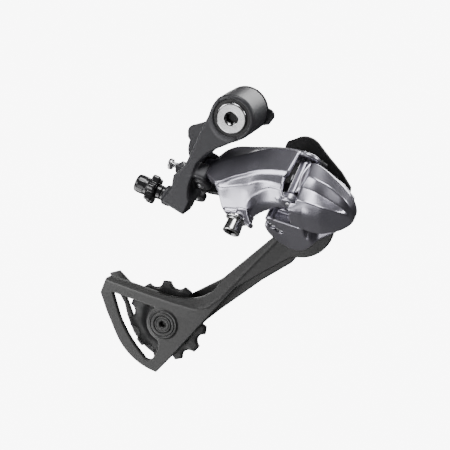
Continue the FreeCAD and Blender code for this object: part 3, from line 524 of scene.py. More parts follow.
class SurfaceNet:
    """Turns a distance field into a quad mesh with smooth normals."""

    EDGES = [(a, b) for a in range(8) for b in range(a + 1, 8) if bin(a ^ b).count("1") == 1]

    def __init__(self, source: Field) -> None:
        """Extracts the surface.

        Args:
            source: the field whose zero level is wanted.
        """
        self.source = source
        values = source.values.astype(np.float32)
        self.values = values
        inside = values < 0
        total = np.zeros(tuple(n - 1 for n in values.shape), np.int8)
        for corner in range(8):
            total += self._shift(inside, corner)
        active = (total > 0) & (total < 8)
        cells = np.argwhere(active)
        ids = np.full(active.shape, -1, np.int64)
        ids[active] = np.arange(len(cells))
        corners = np.stack([values[tuple((cells + self._offset(c)).T)] for c in range(8)], 1)
        self.points = self._cross(cells, corners)
        self.quads = self._faces(inside, ids)
        for _ in range(2):
            value, slope = self._sample(self.points)
            size = np.maximum((slope ** 2).sum(1), 0.05)
            move = np.clip(value / size, -0.4, 0.4)[:, None] * slope
            self.points = self.points - move
        self.normals = self._sample(self.points)[1]

    @staticmethod
    def _offset(corner: int) -> Array:
        """Grid offset of one of a cell's eight corners."""
        return np.array([corner & 1, corner >> 1 & 1, corner >> 2 & 1])

    def _shift(self, inside: Array, corner: int) -> Array:
        """One corner's flag for every cell."""
        offset = self._offset(corner)
        window = tuple(slice(o, n - 1 + o) for o, n in zip(offset, inside.shape))
        return inside[window]

    def _cross(self, cells: Array, corners: Array) -> Array:
        """Mean of the points where a cell's edges cross the surface, in grid steps."""
        total = np.zeros((len(cells), 3), np.float64)
        count = np.zeros(len(cells))
        for a, b in self.EDGES:
            va, vb = corners[:, a], corners[:, b]
            hit = (va < 0) != (vb < 0)
            share = np.where(hit, va / np.where(hit, va - vb, 1.0), 0.0)
            start, end = self._offset(a), self._offset(b)
            total += hit[:, None] * (start + share[:, None] * (end - start))
            count += hit
        return cells + total / count[:, None]

    def _faces(self, inside: Array, ids: Array) -> Array:
        """A quad round every grid edge that crosses the surface."""
        quads = []
        for axis in range(3):
            first = [slice(None)] * 3
            second = [slice(None)] * 3
            first[axis], second[axis] = slice(None, -1), slice(1, None)
            crossing = inside[tuple(first)] != inside[tuple(second)]
            u, v = (axis + 1) % 3, (axis + 2) % 3
            trimmed = np.zeros_like(crossing)
            window = [slice(None)] * 3
            window[u], window[v] = slice(1, -1), slice(1, -1)
            trimmed[tuple(window)] = crossing[tuple(window)]
            spots = np.argwhere(trimmed)
            ring = []
            for du, dv in ((-1, -1), (0, -1), (0, 0), (-1, 0)):
                cell = spots.copy()
                cell[:, u] += du
                cell[:, v] += dv
                ring.append(ids[tuple(cell.T)])
            quad = np.stack(ring, 1)
            flip = ~inside[tuple(spots.T)]
            quad[flip] = quad[flip][:, ::-1]
            quads.append(quad)
        faces = np.concatenate(quads)
        return faces[(faces >= 0).all(1)]

    def _sample(self, points: Array) -> tuple[Array, Array]:
        """Value and slope of the field at points given in grid steps."""
        limit = np.array(self.values.shape) - 2
        cell = np.clip(np.floor(points).astype(int), 0, limit)
        part = np.clip(points - cell, 0.0, 1.0)
        corner = [self.values[tuple((cell + self._offset(c)).T)].astype(np.float64) for c in range(8)]
        x, y, z = part.T
        value = np.zeros(len(points))
        slope = np.zeros((len(points), 3))
        for c in range(8):
            i, j, k = self._offset(c)
            wx = x if i else 1 - x
            wy = y if j else 1 - y
            wz = z if k else 1 - z
            value += corner[c] * wx * wy * wz
            slope[:, 0] += corner[c] * (1 if i else -1) * wy * wz
            slope[:, 1] += corner[c] * wx * (1 if j else -1) * wz
            slope[:, 2] += corner[c] * wx * wy * (1 if k else -1)
        return value, slope

    def mesh(self, name: str) -> bpy.types.Mesh:
        """Makes the Blender mesh in the row frame, in metres.

        Args:
            name: name of the mesh.

        Returns:
            The mesh.
        """
        local = self.points * self.source.step + self.source.low
        placed = self.source.axes.world(local) * MM
        normals = self.normals @ self.source.axes.rows
        normals /= np.maximum(np.linalg.norm(normals, axis=1), 1e-9)[:, None]
        return smooth_mesh(name, placed, self.quads, normals)


def smooth_mesh(name: str, points: Array, faces: Array, normals: Array | None = None) -> bpy.types.Mesh:
    """Makes a smooth-shaded mesh from arrays of equal-sided faces.

    Args:
        name: name of the mesh.
        points: N by 3 points in metres.
        faces: M by K point numbers.
        normals: a normal for each point, or None.

    Returns:
        The mesh.
    """
    mesh = bpy.data.meshes.new(name)
    sides = faces.shape[1]
    mesh.vertices.add(len(points))
    mesh.vertices.foreach_set("co", points.astype(np.float32).ravel())
    mesh.loops.add(faces.size)
    mesh.loops.foreach_set("vertex_index", faces.astype(np.int32).ravel())
    mesh.polygons.add(len(faces))
    mesh.polygons.foreach_set("loop_start", (np.arange(len(faces)) * sides).astype(np.int32))
    mesh.polygons.foreach_set("loop_total", np.full(len(faces), sides, np.int32))
    mesh.update(calc_edges=True)
    mesh.validate()
    mesh.polygons.foreach_set("use_smooth", np.ones(len(mesh.polygons), bool))
    if normals is not None and len(mesh.vertices) == len(normals):
        mesh.normals_split_custom_set_from_vertices(normals.tolist())
    return mesh


# ---------------------------------------------------------------------------
# Materials
# ---------------------------------------------------------------------------
class MaterialTree:
    """One material's node tree."""

    def __init__(self, name: str) -> None:
        """Makes the material.

        Args:
            name: its name.
        """
        self.material = bpy.data.materials.new(name)
        self.material.use_nodes = True
        self.tree = self.material.node_tree
        self.tree.nodes.clear()

    def node(self, kind: str, settings: dict[str, object] | None = None,
             inputs: dict[int | str, object] | None = None) -> bpy.types.Node:
        """Adds a node, sets it and links it.

        Args:
            kind: Blender's name for the node type.
            settings: attributes to set.
            inputs: values, sockets or Values for its inputs, by name or number.

        Returns:
            The node.
        """
        made = self.tree.nodes.new(kind)
        for key, setting in (settings or {}).items():
            setattr(made, key, setting)
        for key, given in (inputs or {}).items():
            if isinstance(given, Value):
                self.tree.links.new(given.socket, made.inputs[key])
            elif isinstance(given, bpy.types.NodeSocket):
                self.tree.links.new(given, made.inputs[key])
            else:
                made.inputs[key].default_value = given
        return made

    def position(self, scale: Point3 = (1.0, 1.0, 1.0)) -> bpy.types.NodeSocket:
        """Object coordinates in millimetres, stretched.

        Args:
            scale: factor along each axis.

        Returns:
            The vector socket.
        """
        coordinates = self.node("ShaderNodeTexCoord")
        factor = tuple(s / MM for s in scale)
        scaled = self.node("ShaderNodeVectorMath", {"operation": "MULTIPLY"},
                           {0: coordinates.outputs["Object"], 1: factor})
        return scaled.outputs[0]

    def noise(self, scale: float, detail: float = 3.0, stretch: Point3 = (1.0, 1.0, 1.0)) -> "Value":
        """Noise from 0 to 1 over the object.

        Args:
            scale: cycles per millimetre.
            detail: octaves.
            stretch: factor along each axis.

        Returns:
            The noise.
        """
        made = self.node("ShaderNodeTexNoise", {"noise_dimensions": "3D"},
                         {"Vector": self.position(stretch), "Scale": scale, "Detail": detail, "Roughness": 0.55})
        return Value(self, made.outputs["Fac"])

    def mix(self, share: "Value", low: Sequence[float], high: Sequence[float]) -> bpy.types.NodeSocket:
        """Mixes two colours.

        Args:
            share: 0 for low, 1 for high.
            low: first colour.
            high: second colour.

        Returns:
            The colour socket.
        """
        made = self.node("ShaderNodeMix", {"data_type": "RGBA"}, {0: share, 6: (*low, 1.0), 7: (*high, 1.0)})
        return made.outputs[2]

    def bump(self, height: "Value", strength: float, distance: float) -> bpy.types.NodeSocket:
        """Turns a height into a normal.

        Args:
            height: the height.
            strength: how much of it shows.
            distance: its depth in millimetres.

        Returns:
            The normal socket.
        """
        made = self.node("ShaderNodeBump", None,
                         {"Strength": strength, "Distance": distance * MM, "Height": height})
        return made.outputs[0]


@dataclass(frozen=True)
class Value:
    """A number in a material's tree that ordinary arithmetic works on."""

    tree: MaterialTree
    socket: bpy.types.NodeSocket

    def _math(self, operation: str, first: object, second: object, clamp: bool = False) -> "Value":
        made = self.tree.node("ShaderNodeMath", {"operation": operation, "use_clamp": clamp}, {0: first, 1: second})
        return Value(self.tree, made.outputs[0])

    def __add__(self, other: object) -> "Value":
        return self._math("ADD", self, other)

    __radd__ = __add__

    def __sub__(self, other: object) -> "Value":
        return self._math("SUBTRACT", self, other)

    def __rsub__(self, other: object) -> "Value":
        return self._math("SUBTRACT", other, self)

    def __mul__(self, other: object) -> "Value":
        return self._math("MULTIPLY", self, other)

    __rmul__ = __mul__

    def __truediv__(self, other: object) -> "Value":
        return self._math("DIVIDE", self, other)

    def __rtruediv__(self, other: object) -> "Value":
        return self._math("DIVIDE", other, self)

    def __pow__(self, other: object) -> "Value":
        return self._math("POWER", self, other)

    def clamped(self) -> "Value":
        """The number held between 0 and 1.

        Returns:
            The held number.
        """
        made = self.tree.node("ShaderNodeMath", {"operation": "ADD", "use_clamp": True}, {0: self, 1: 0.0})
        return Value(self.tree, made.outputs[0])

    def band(self, low: float, high: float) -> "Value":
        """Stretches a range of the number to 0 to 1.

        Args:
            low: what becomes 0.
            high: what becomes 1.

        Returns:
            The stretched number.
        """
        return ((self - low) / (high - low)).clamped()


class Pattern(Enum):
    """What the fine structure of a finish looks like."""

    FLAKES = "flakes"
    GRAIN = "grain"
    BRUSHED = "brushed"


@dataclass(frozen=True)
class PaintedShadeSocket:
    """A key socket whose inside gets painted shade: the colour darkens into it as the recess would lie in shadow.

    Args:
        origin: centre of its mouth, in millimetres.
        axis: direction into it.
        radius: radius that holds all of it.
        fade: depth over which the painted shade darkens.
    """

    origin: Point3
    axis: Point3
    radius: float
    fade: float = 1.2

    def share(self, tree: MaterialTree) -> Value:
        """How far inside the socket a point is, the mask of its painted shade.

        Args:
            tree: the material's tree.

        Returns:
            0 outside, 1 deep inside.
        """
        moved = tree.node("ShaderNodeVectorMath", {"operation": "SUBTRACT"}, {0: tree.position(), 1: self.origin})
        dot = tree.node("ShaderNodeVectorMath", {"operation": "DOT_PRODUCT"}, {0: moved.outputs[0], 1: self.axis})
        size = tree.node("ShaderNodeVectorMath", {"operation": "LENGTH"}, {0: moved.outputs[0]})
        depth, reach = Value(tree, dot.outputs["Value"]), Value(tree, size.outputs["Value"])
        radial = (reach * reach - depth * depth + 1e-6) ** 0.5
        # Painted shade mask: 0 outside the socket, rising to 1 deep inside it.
        return depth.band(0.1, self.fade) * (1.0 - radial.band(self.radius, self.radius + 0.15))


@dataclass(frozen=True)
class Finish:
    """One surface finish.

    Args:
        name: its name, used for the material.
        dark: colour in its low spots.
        light: colour in its high spots.
        metallic: how metallic it is.
        smooth: lowest roughness.
        rough: highest roughness.
        coat: clear coat weight.
        pattern: its fine structure.
        grain: cycles per millimetre of that structure.
        relief: bump depth in millimetres.
        stretch: stretch of the structure along each axis.
        specular: strength of its dielectric reflection.
        socket: the recess whose colour gets painted shade, if any.
    """

    name: str
    dark: Point3
    light: Point3
    metallic: float
    smooth: float
    rough: float
    coat: float = 0.0
    pattern: Pattern = Pattern.GRAIN
    grain: float = 4.0
    relief: float = 0.01
    stretch: Point3 = (1.0, 1.0, 1.0)
    specular: float = 0.5
    socket: "PaintedShadeSocket | None" = None

    def material(self) -> bpy.types.Material:
        """Builds the material, or finds it if it is already built.

        Returns:
            The material.
        """
        found = bpy.data.materials.get(self.name)
        if found is not None:
            return found
        tree = MaterialTree(self.name)
        fine = tree.noise(self.grain, 2.0, self.stretch)
        broad = tree.noise(0.06, 3.0)
        if self.pattern is Pattern.FLAKES:
            share = (fine.band(0.3, 0.75) * 0.75 + broad * 0.25).clamped()
        elif self.pattern is Pattern.BRUSHED:
            share = (fine.band(0.25, 0.75) * 0.6 + broad.band(0.3, 0.7) * 0.4).clamped()
        else:
            share = (fine.band(0.3, 0.7) * 0.5 + broad.band(0.3, 0.7) * 0.5).clamped()
        roughness = share * (self.rough - self.smooth) + self.smooth
        # Painted shade: inside the socket the colour mix is pushed fully to the dark colour, standing in for the shadow
        # in the recess.
        if self.socket is not None:
            depth = self.socket.share(tree)
            share = (share * (1.0 - depth)).clamped()
            roughness = roughness + depth * 0.3
        # With a socket, the dark colour is cut to 6 %, which makes the painted shade in the socket near black and also
        # darkens the low flakes elsewhere.
        low = self.dark if self.socket is None else tuple(v * 0.06 for v in self.dark)
        shader = tree.node("ShaderNodeBsdfPrincipled", None, {
            "Base Color": tree.mix(share, low, self.light),
            "Specular IOR Level": self.specular,
            "Metallic": self.metallic,
            "Roughness": roughness,
            "Coat Weight": self.coat,
            "Coat Roughness": 0.18,
            "Normal": tree.bump(fine, 0.35, self.relief),
        })
        tree.node("ShaderNodeOutputMaterial", None, {"Surface": shader.outputs[0]})
        return tree.material


SILVER = Finish("silver_paint", (0.25, 0.243, 0.285), (0.42, 0.41, 0.465), 0.95, 0.27, 0.34, 0.25,
                Pattern.FLAKES, 9.0, 0.004)
BRACKET = Finish("bracket_black", (0.009, 0.009, 0.01), (0.017, 0.017, 0.018), 0.0, 0.46, 0.58, 0.0,
                 Pattern.GRAIN, 5.0, 0.02, specular=0.22)
CAGE = Finish("cage_black", (0.006, 0.006, 0.0065), (0.012, 0.012, 0.013), 0.1, 0.36, 0.48, 0.05,
              Pattern.GRAIN, 3.5, 0.012, specular=0.25)
PLASTIC = Finish("pulley_plastic", (0.008, 0.008, 0.009), (0.018, 0.018, 0.019), 0.0, 0.36, 0.5, 0.0,
                 Pattern.GRAIN, 6.0, 0.01)
GLOSS = Finish("adjuster_gloss", (0.012, 0.012, 0.013), (0.026, 0.026, 0.028), 0.35, 0.18, 0.28, 0.4,
               Pattern.GRAIN, 5.0, 0.006)
CHROME = Finish("bright_steel", (0.66, 0.66, 0.68), (0.86, 0.86, 0.87), 1.0, 0.12, 0.22, 0.0,
                Pattern.BRUSHED, 3.0, 0.003, (1.0, 0.15, 1.0))
STEEL = Finish("plain_steel", (0.4, 0.4, 0.41), (0.6, 0.6, 0.62), 1.0, 0.26, 0.38, 0.0,
               Pattern.BRUSHED, 4.0, 0.004, (1.0, 0.3, 1.0))
BRONZE = Finish("bush_bronze", (0.36, 0.24, 0.12), (0.55, 0.4, 0.22), 1.0, 0.3, 0.42, 0.0,
                Pattern.BRUSHED, 4.0, 0.004)


# ---------------------------------------------------------------------------
# Pieces
# ---------------------------------------------------------------------------
class Body(Enum):
    """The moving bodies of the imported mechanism."""

    HANGER = "hanger_fixings"
    BRACKET = "bracket"
    TENSION_SCREW = "tension_screw"
    ADJUSTER = "adjuster"
    OUTER_ARM = "outer_arm"
    CLAMP_BOLT = "clamp_bolt"
    INNER_ARM = "inner_arm"
    REAR = "rear_body"
    LIMIT_HIGH = "limit_high"
    LIMIT_LOW = "limit_low"
    CAGE = "cage"
    GUIDE = "guide_wheel"
    TENSION = "tension_wheel"


@dataclass(frozen=True)
class Role:
    """What a visible piece stands for.

    Args:
        name: name of the piece.
        body: the body it rides on.
        slot: the record's material slot; not used.
        finish: its finish.
        nodes: the solid nodes it replaces.
    """

    name: str
    body: Body
    slot: str
    finish: Finish
    nodes: tuple[str, ...]


class SubAssembly:
    """Base of the classes that build the derailleur's sub-assemblies."""

    def build(self) -> None:
        """Builds every piece of the sub-assembly."""
        raise NotImplementedError

    @staticmethod
    def place(mesh: bpy.types.Mesh, role: Role) -> bpy.types.Object:
        """Adds a finished mesh to the scene and ties it to the mechanism.

        Args:
            mesh: the mesh, in the row frame.
            role: what it stands for.

        Returns:
            The object.
        """
        made = bpy.data.objects.new(role.name, mesh)
        bpy.context.scene.collection.objects.link(made)
        if not mesh.materials:
            mesh.materials.append(role.finish.material())
        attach(made, role.body.value)
        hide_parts(*role.nodes)
        LOG.info("%s: %d faces", role.name, len(mesh.polygons))
        return made

    def net(self, source: Field, role: Role) -> bpy.types.Object:
        """Meshes a field and places it.

        Args:
            source: the field.
            role: what the piece stands for.

        Returns:
            The object.
        """
        return self.place(SurfaceNet(source).mesh(role.name), role)

    @staticmethod
    def keep(node: str, finish: Finish, slot: str) -> None:
        """Shows a solid node as it is, in a finish.

        Args:
            node: the node's name.
            finish: its finish.
            slot: the record's material slot; not used.
        """
        carried = bpy.data.objects[node]
        carried.data.materials.clear()
        carried.data.materials.append(finish.material())
        LOG.info("%s: carried over", node)


# ---------------------------------------------------------------------------
# Geometry node generators
# ---------------------------------------------------------------------------
class Generator:
    """A geometry node tree with named inputs, run on one object and turned into a mesh."""

    def __init__(self, name: str) -> None:
        """Makes the tree with its geometry and material sockets.

        Args:
            name: name of the tree.
        """
        self.tree = bpy.data.node_groups.new(name, "GeometryNodeTree")
        self.identifiers: dict[str, str] = {}
        self.add_input("Geometry", "NodeSocketGeometry")
        self.add_input("Material", "NodeSocketMaterial")
        self.tree.interface.new_socket(name="Geometry", in_out="OUTPUT", socket_type="NodeSocketGeometry")
        self.source = self.tree.nodes.new("NodeGroupInput")
        self.sink = self.tree.nodes.new("NodeGroupOutput")

    def add_input(self, name: str, kind: str) -> None:
        """Adds a named input to the tree.

        Args:
            name: the input's name.
            kind: its socket type.
        """
        made = self.tree.interface.new_socket(name=name, in_out="INPUT", socket_type=kind)
        self.identifiers[name] = made.identifier

    def node(self, kind: str, settings: dict[str, object] | None = None,
             inputs: dict[int | str, object] | None = None) -> bpy.types.Node:
        """Adds a node, sets it and links it.

        Args:
            kind: Blender's name for the node type.
            settings: attributes to set.
            inputs: values or sockets for its inputs, by name or number.

        Returns:
            The node.
        """
        made = self.tree.nodes.new(kind)
        for key, setting in (settings or {}).items():
            setattr(made, key, setting)
        for key, given in (inputs or {}).items():
            if isinstance(given, bpy.types.NodeSocket):
                self.tree.links.new(given, made.inputs[key])
            else:
                made.inputs[key].default_value = given
        return made

    def end(self, geometry: bpy.types.NodeSocket) -> None:
        """Closes the tree with real geometry and its material.

        Args:
            geometry: what the tree makes.
        """
        real = self.node("GeometryNodeRealizeInstances", None, {"Geometry": geometry})
        painted = self.node("GeometryNodeSetMaterial", None,
                            {"Geometry": real.outputs[0], "Material": self.source.outputs["Material"]})
        self.tree.links.new(painted.outputs[0], self.sink.inputs[0])

    def run(self, name: str, start: bpy.types.Mesh, values: dict[str, object]) -> bpy.types.Mesh:
        """Runs the tree on a starting mesh.

        Args:
            name: name of the mesh that comes out.
            start: the mesh that goes in.
            values: values of the named inputs.

        Returns:
            The finished mesh.
        """
        holder = bpy.data.objects.new(name + "_source", start)
        bpy.context.scene.collection.objects.link(holder)
        modifier = holder.modifiers.new("generator", "NODES")
        modifier.node_group = self.tree
        for key, given in values.items():
            modifier[self.identifiers[key]] = given
        bpy.context.view_layer.update()
        evaluated = holder.evaluated_get(bpy.context.evaluated_depsgraph_get())
        mesh = bpy.data.meshes.new_from_object(evaluated)
        mesh.name = name
        holder.modifiers.remove(modifier)
        bpy.data.objects.remove(holder)
        return mesh


class Ring(Generator):
    """Repeats the starting mesh round an axis and welds the copies together."""

    def __init__(self) -> None:
        """Builds the tree."""
        super().__init__("ring_of_copies")
        self.add_input("Count", "NodeSocketInt")
        self.add_input("Centre", "NodeSocketVector")
        self.add_input("Axis", "NodeSocketVector")
        points = self.node("GeometryNodePoints", None, {"Count": self.source.outputs["Count"]})
        index = self.node("GeometryNodeInputIndex")
        step = self.node("ShaderNodeMath", {"operation": "DIVIDE"}, {0: 2 * math.pi, 1: self.source.outputs["Count"]})
        angle = self.node("ShaderNodeMath", {"operation": "MULTIPLY"}, {0: index.outputs[0], 1: step.outputs[0]})
        turn = self.node("FunctionNodeAxisAngleToRotation", None,
                         {"Axis": self.source.outputs["Axis"], "Angle": angle.outputs[0]})
        copies = self.node("GeometryNodeInstanceOnPoints", None,
                           {"Points": points.outputs[0], "Instance": self.source.outputs["Geometry"],
                            "Rotation": turn.outputs[0]})
        real = self.node("GeometryNodeRealizeInstances", None, {"Geometry": copies.outputs[0]})
        welded = self.node("GeometryNodeMergeByDistance", None, {"Geometry": real.outputs[0], "Distance": 2e-6})
        moved = self.node("GeometryNodeTransform", None,
                          {"Geometry": welded.outputs[0], "Translation": self.source.outputs["Centre"]})
        self.end(moved.outputs[0])


class Coil(Generator):
    """Winds a round wire into a coil along local Z."""

    def __init__(self) -> None:
        """Builds the tree."""
        super().__init__("coil_spring")
        for name in ("Turns", "Radius", "Wire", "Height"):
            self.add_input(name, "NodeSocketFloat")
        outputs = self.source.outputs
        spiral = self.node("GeometryNodeCurveSpiral", None,
                           {"Resolution": 40, "Rotations": outputs["Turns"], "Start Radius": outputs["Radius"],
                            "End Radius": outputs["Radius"], "Height": outputs["Height"]})
        wire = self.node("GeometryNodeCurvePrimitiveCircle", None, {"Resolution": 14, "Radius": outputs["Wire"]})
        swept = self.node("GeometryNodeCurveToMesh", None,
                          {"Curve": spiral.outputs[0], "Profile Curve": wire.outputs[0], "Fill Caps": True})
        soft = self.node("GeometryNodeSetShadeSmooth", None, {"Geometry": swept.outputs[0]})
        self.end(soft.outputs[0])


def coil_mesh(name: str, axes: Axes, turns: float, radius: float, wire: float, height: float,
              finish: Finish) -> bpy.types.Mesh:
    """Makes a coil and puts it in place.

    Args:
        name: name of the mesh.
        axes: axes whose Z the coil winds round, at its start.
        turns: number of turns.
        radius: radius of the wire's middle.
        wire: radius of the wire.
        height: rise of the wire's middle.
        finish: its finish.

    Returns:
        The mesh, in the row frame.
    """
    mesh = Coil().run(name, bpy.data.meshes.new(name + "_start"), {
        "Turns": turns, "Radius": radius * MM, "Wire": wire * MM, "Height": height * MM,
        "Material": finish.material()})
    flat = np.empty(len(mesh.vertices) * 3, np.float32)
    mesh.vertices.foreach_get("co", flat)
    points = flat.reshape(-1, 3) / MM
    points[:, 2] += wire
    mesh.vertices.foreach_set("co", (axes.world(points) * MM).astype(np.float32).ravel())
    mesh.update()
    return mesh


# ---------------------------------------------------------------------------
# Hanger fixings
# ---------------------------------------------------------------------------
@dataclass
class HangerFixings(SubAssembly):
    """The hanger bolt, the stop plate and its retaining ring.

    Args:
        head: radius of the bolt's head.
        front: front of the barrel that the head sits in.
        across: hex socket size.
        shank: radius of the bolt where the bracket turns.
        thread: radius of the hanger thread.
        reach: how far the thread goes past the seat.
        pitch: thread pitch.
    """

    head: float = 7.75
    front: float = -23.5
    across: float = 5.0
    shank: float = 6.0
    thread: float = 5.0
    reach: float = 8.5
    pitch: float = 1.0
    plate_low: float = -2.7
    plate_high: float = -1.2

    def build(self) -> None:
        """Builds the bolt and the plate."""
        self.bolt()
        self.plate()
        self.keep("b_retaining_ring", STEEL, "steel_plain")

    def bolt(self) -> None:
        """The hanger bolt with its dished head, hex socket and thread."""
        grid = Field(ROW, (-8.4, -24.9, -8.4), (8.4, 9.0, 8.4), FINE)
        q = grid.at(along((0, 0, 0), (0, 1, 0)))
        nose = self.front - 0.7
        grid.join(rod(q, self.head, nose, self.front + 2.8, 0.45), 0.0)
        dish = cone(q, 3.7, 2.8, nose - 0.4, nose + 0.7, 0.02)
        grid.cut(dish, 0.3)
        grid.cut(hexagon(q, self.across, nose - 1, nose + 6.0), 0.25)
        grid.join(rod(q, self.shank, self.front + 2.0, 0.0, 0.2), 0.2)
        angle = np.arctan2(q[1], q[0])
        phase = (q[2] / self.pitch - angle / (2 * math.pi)) % 1.0
        groove = 0.55 * np.abs(phase - 0.5) * 2 * self.pitch * 0.6
        radial = np.sqrt(q[0] ** 2 + q[1] ** 2)
        lead = np.clip((q[2] - self.reach + 1.2) / 1.2, 0, 1)
        screw = soft_max(radial - (self.thread - groove * 0.9 - lead * 0.5),
                         np.maximum(-1.0 - q[2], q[2] - self.reach), 0.2)
        grid.join(screw, 0.0)
        band = np.maximum(np.maximum(self.plate_high - q[2], q[2] + 0.4), (self.shank - 0.6) - radial)
        grid.cut(band, 0.1)
        # The bolt's finish paints shade into the hex socket.
        finish = replace(CHROME, name="hanger_bolt_steel_painted_shade", dark=(0.7, 0.7, 0.71),
                         socket=PaintedShadeSocket((0.0, nose, 0.0), (0.0, 1.0, 0.0), 2.95))
        self.net(grid, Role("hanger_bolt", Body.HANGER, "steel_bright", finish, ("b_axle_bolt",)))

    def plate(self) -> None:
        """The stop plate with its hanger lug and lever."""
        outline = Outline((-6.0, 9.2)).arc((-13.0, 0.5), (-21.0, -8.0)).line((-27.4, -10.2))
        outline.arc((-29.9, -11.6), (-30.7, -14.4)).line((-30.7, -16.6), (-29.6, -18.4)).arc((-30.6, -24.2), (-28.6, -29.6))
        outline.line((-27.4, -32.0), (-24.4, -30.8)).arc((-25.4, -26.0), (-25.8, -20.0))
        outline.arc((-22.6, -14.6), (-14.0, -12.2)).line((-5.0, -9.6))
        lug = Outline((6.0, 3.2)).line((12.2, 0.9)).arc((14.3, -1.0), (14.4, -3.6)).line((11.8, -7.1), (6.0, -8.2))
        grid = Field(ROW, (-34, -3.4, -33.5), (16, -0.5, 13), 0.26)
        x, y, z = grid.here
        depth = np.maximum(self.plate_low - y, y - self.plate_high)
        grid.join(rounded(outline.distance(x, z), depth, 0.4), 0.0)
        grid.join(rounded(lug.distance(x, z), depth, 0.35), 0.2)
        q = grid.at(along((0, 0, 0), (0, 1, 0)))
        grid.join(rod(q, 11.5, self.plate_low, self.plate_high, 0.4), 0.3)
        grid.cut(rod(q, self.shank + 0.05, -9, 9, 0.0), 0.15)
        self.net(grid, Role("stop_plate", Body.HANGER, "bracket_black", BRACKET, ("b_stop_plate",)))


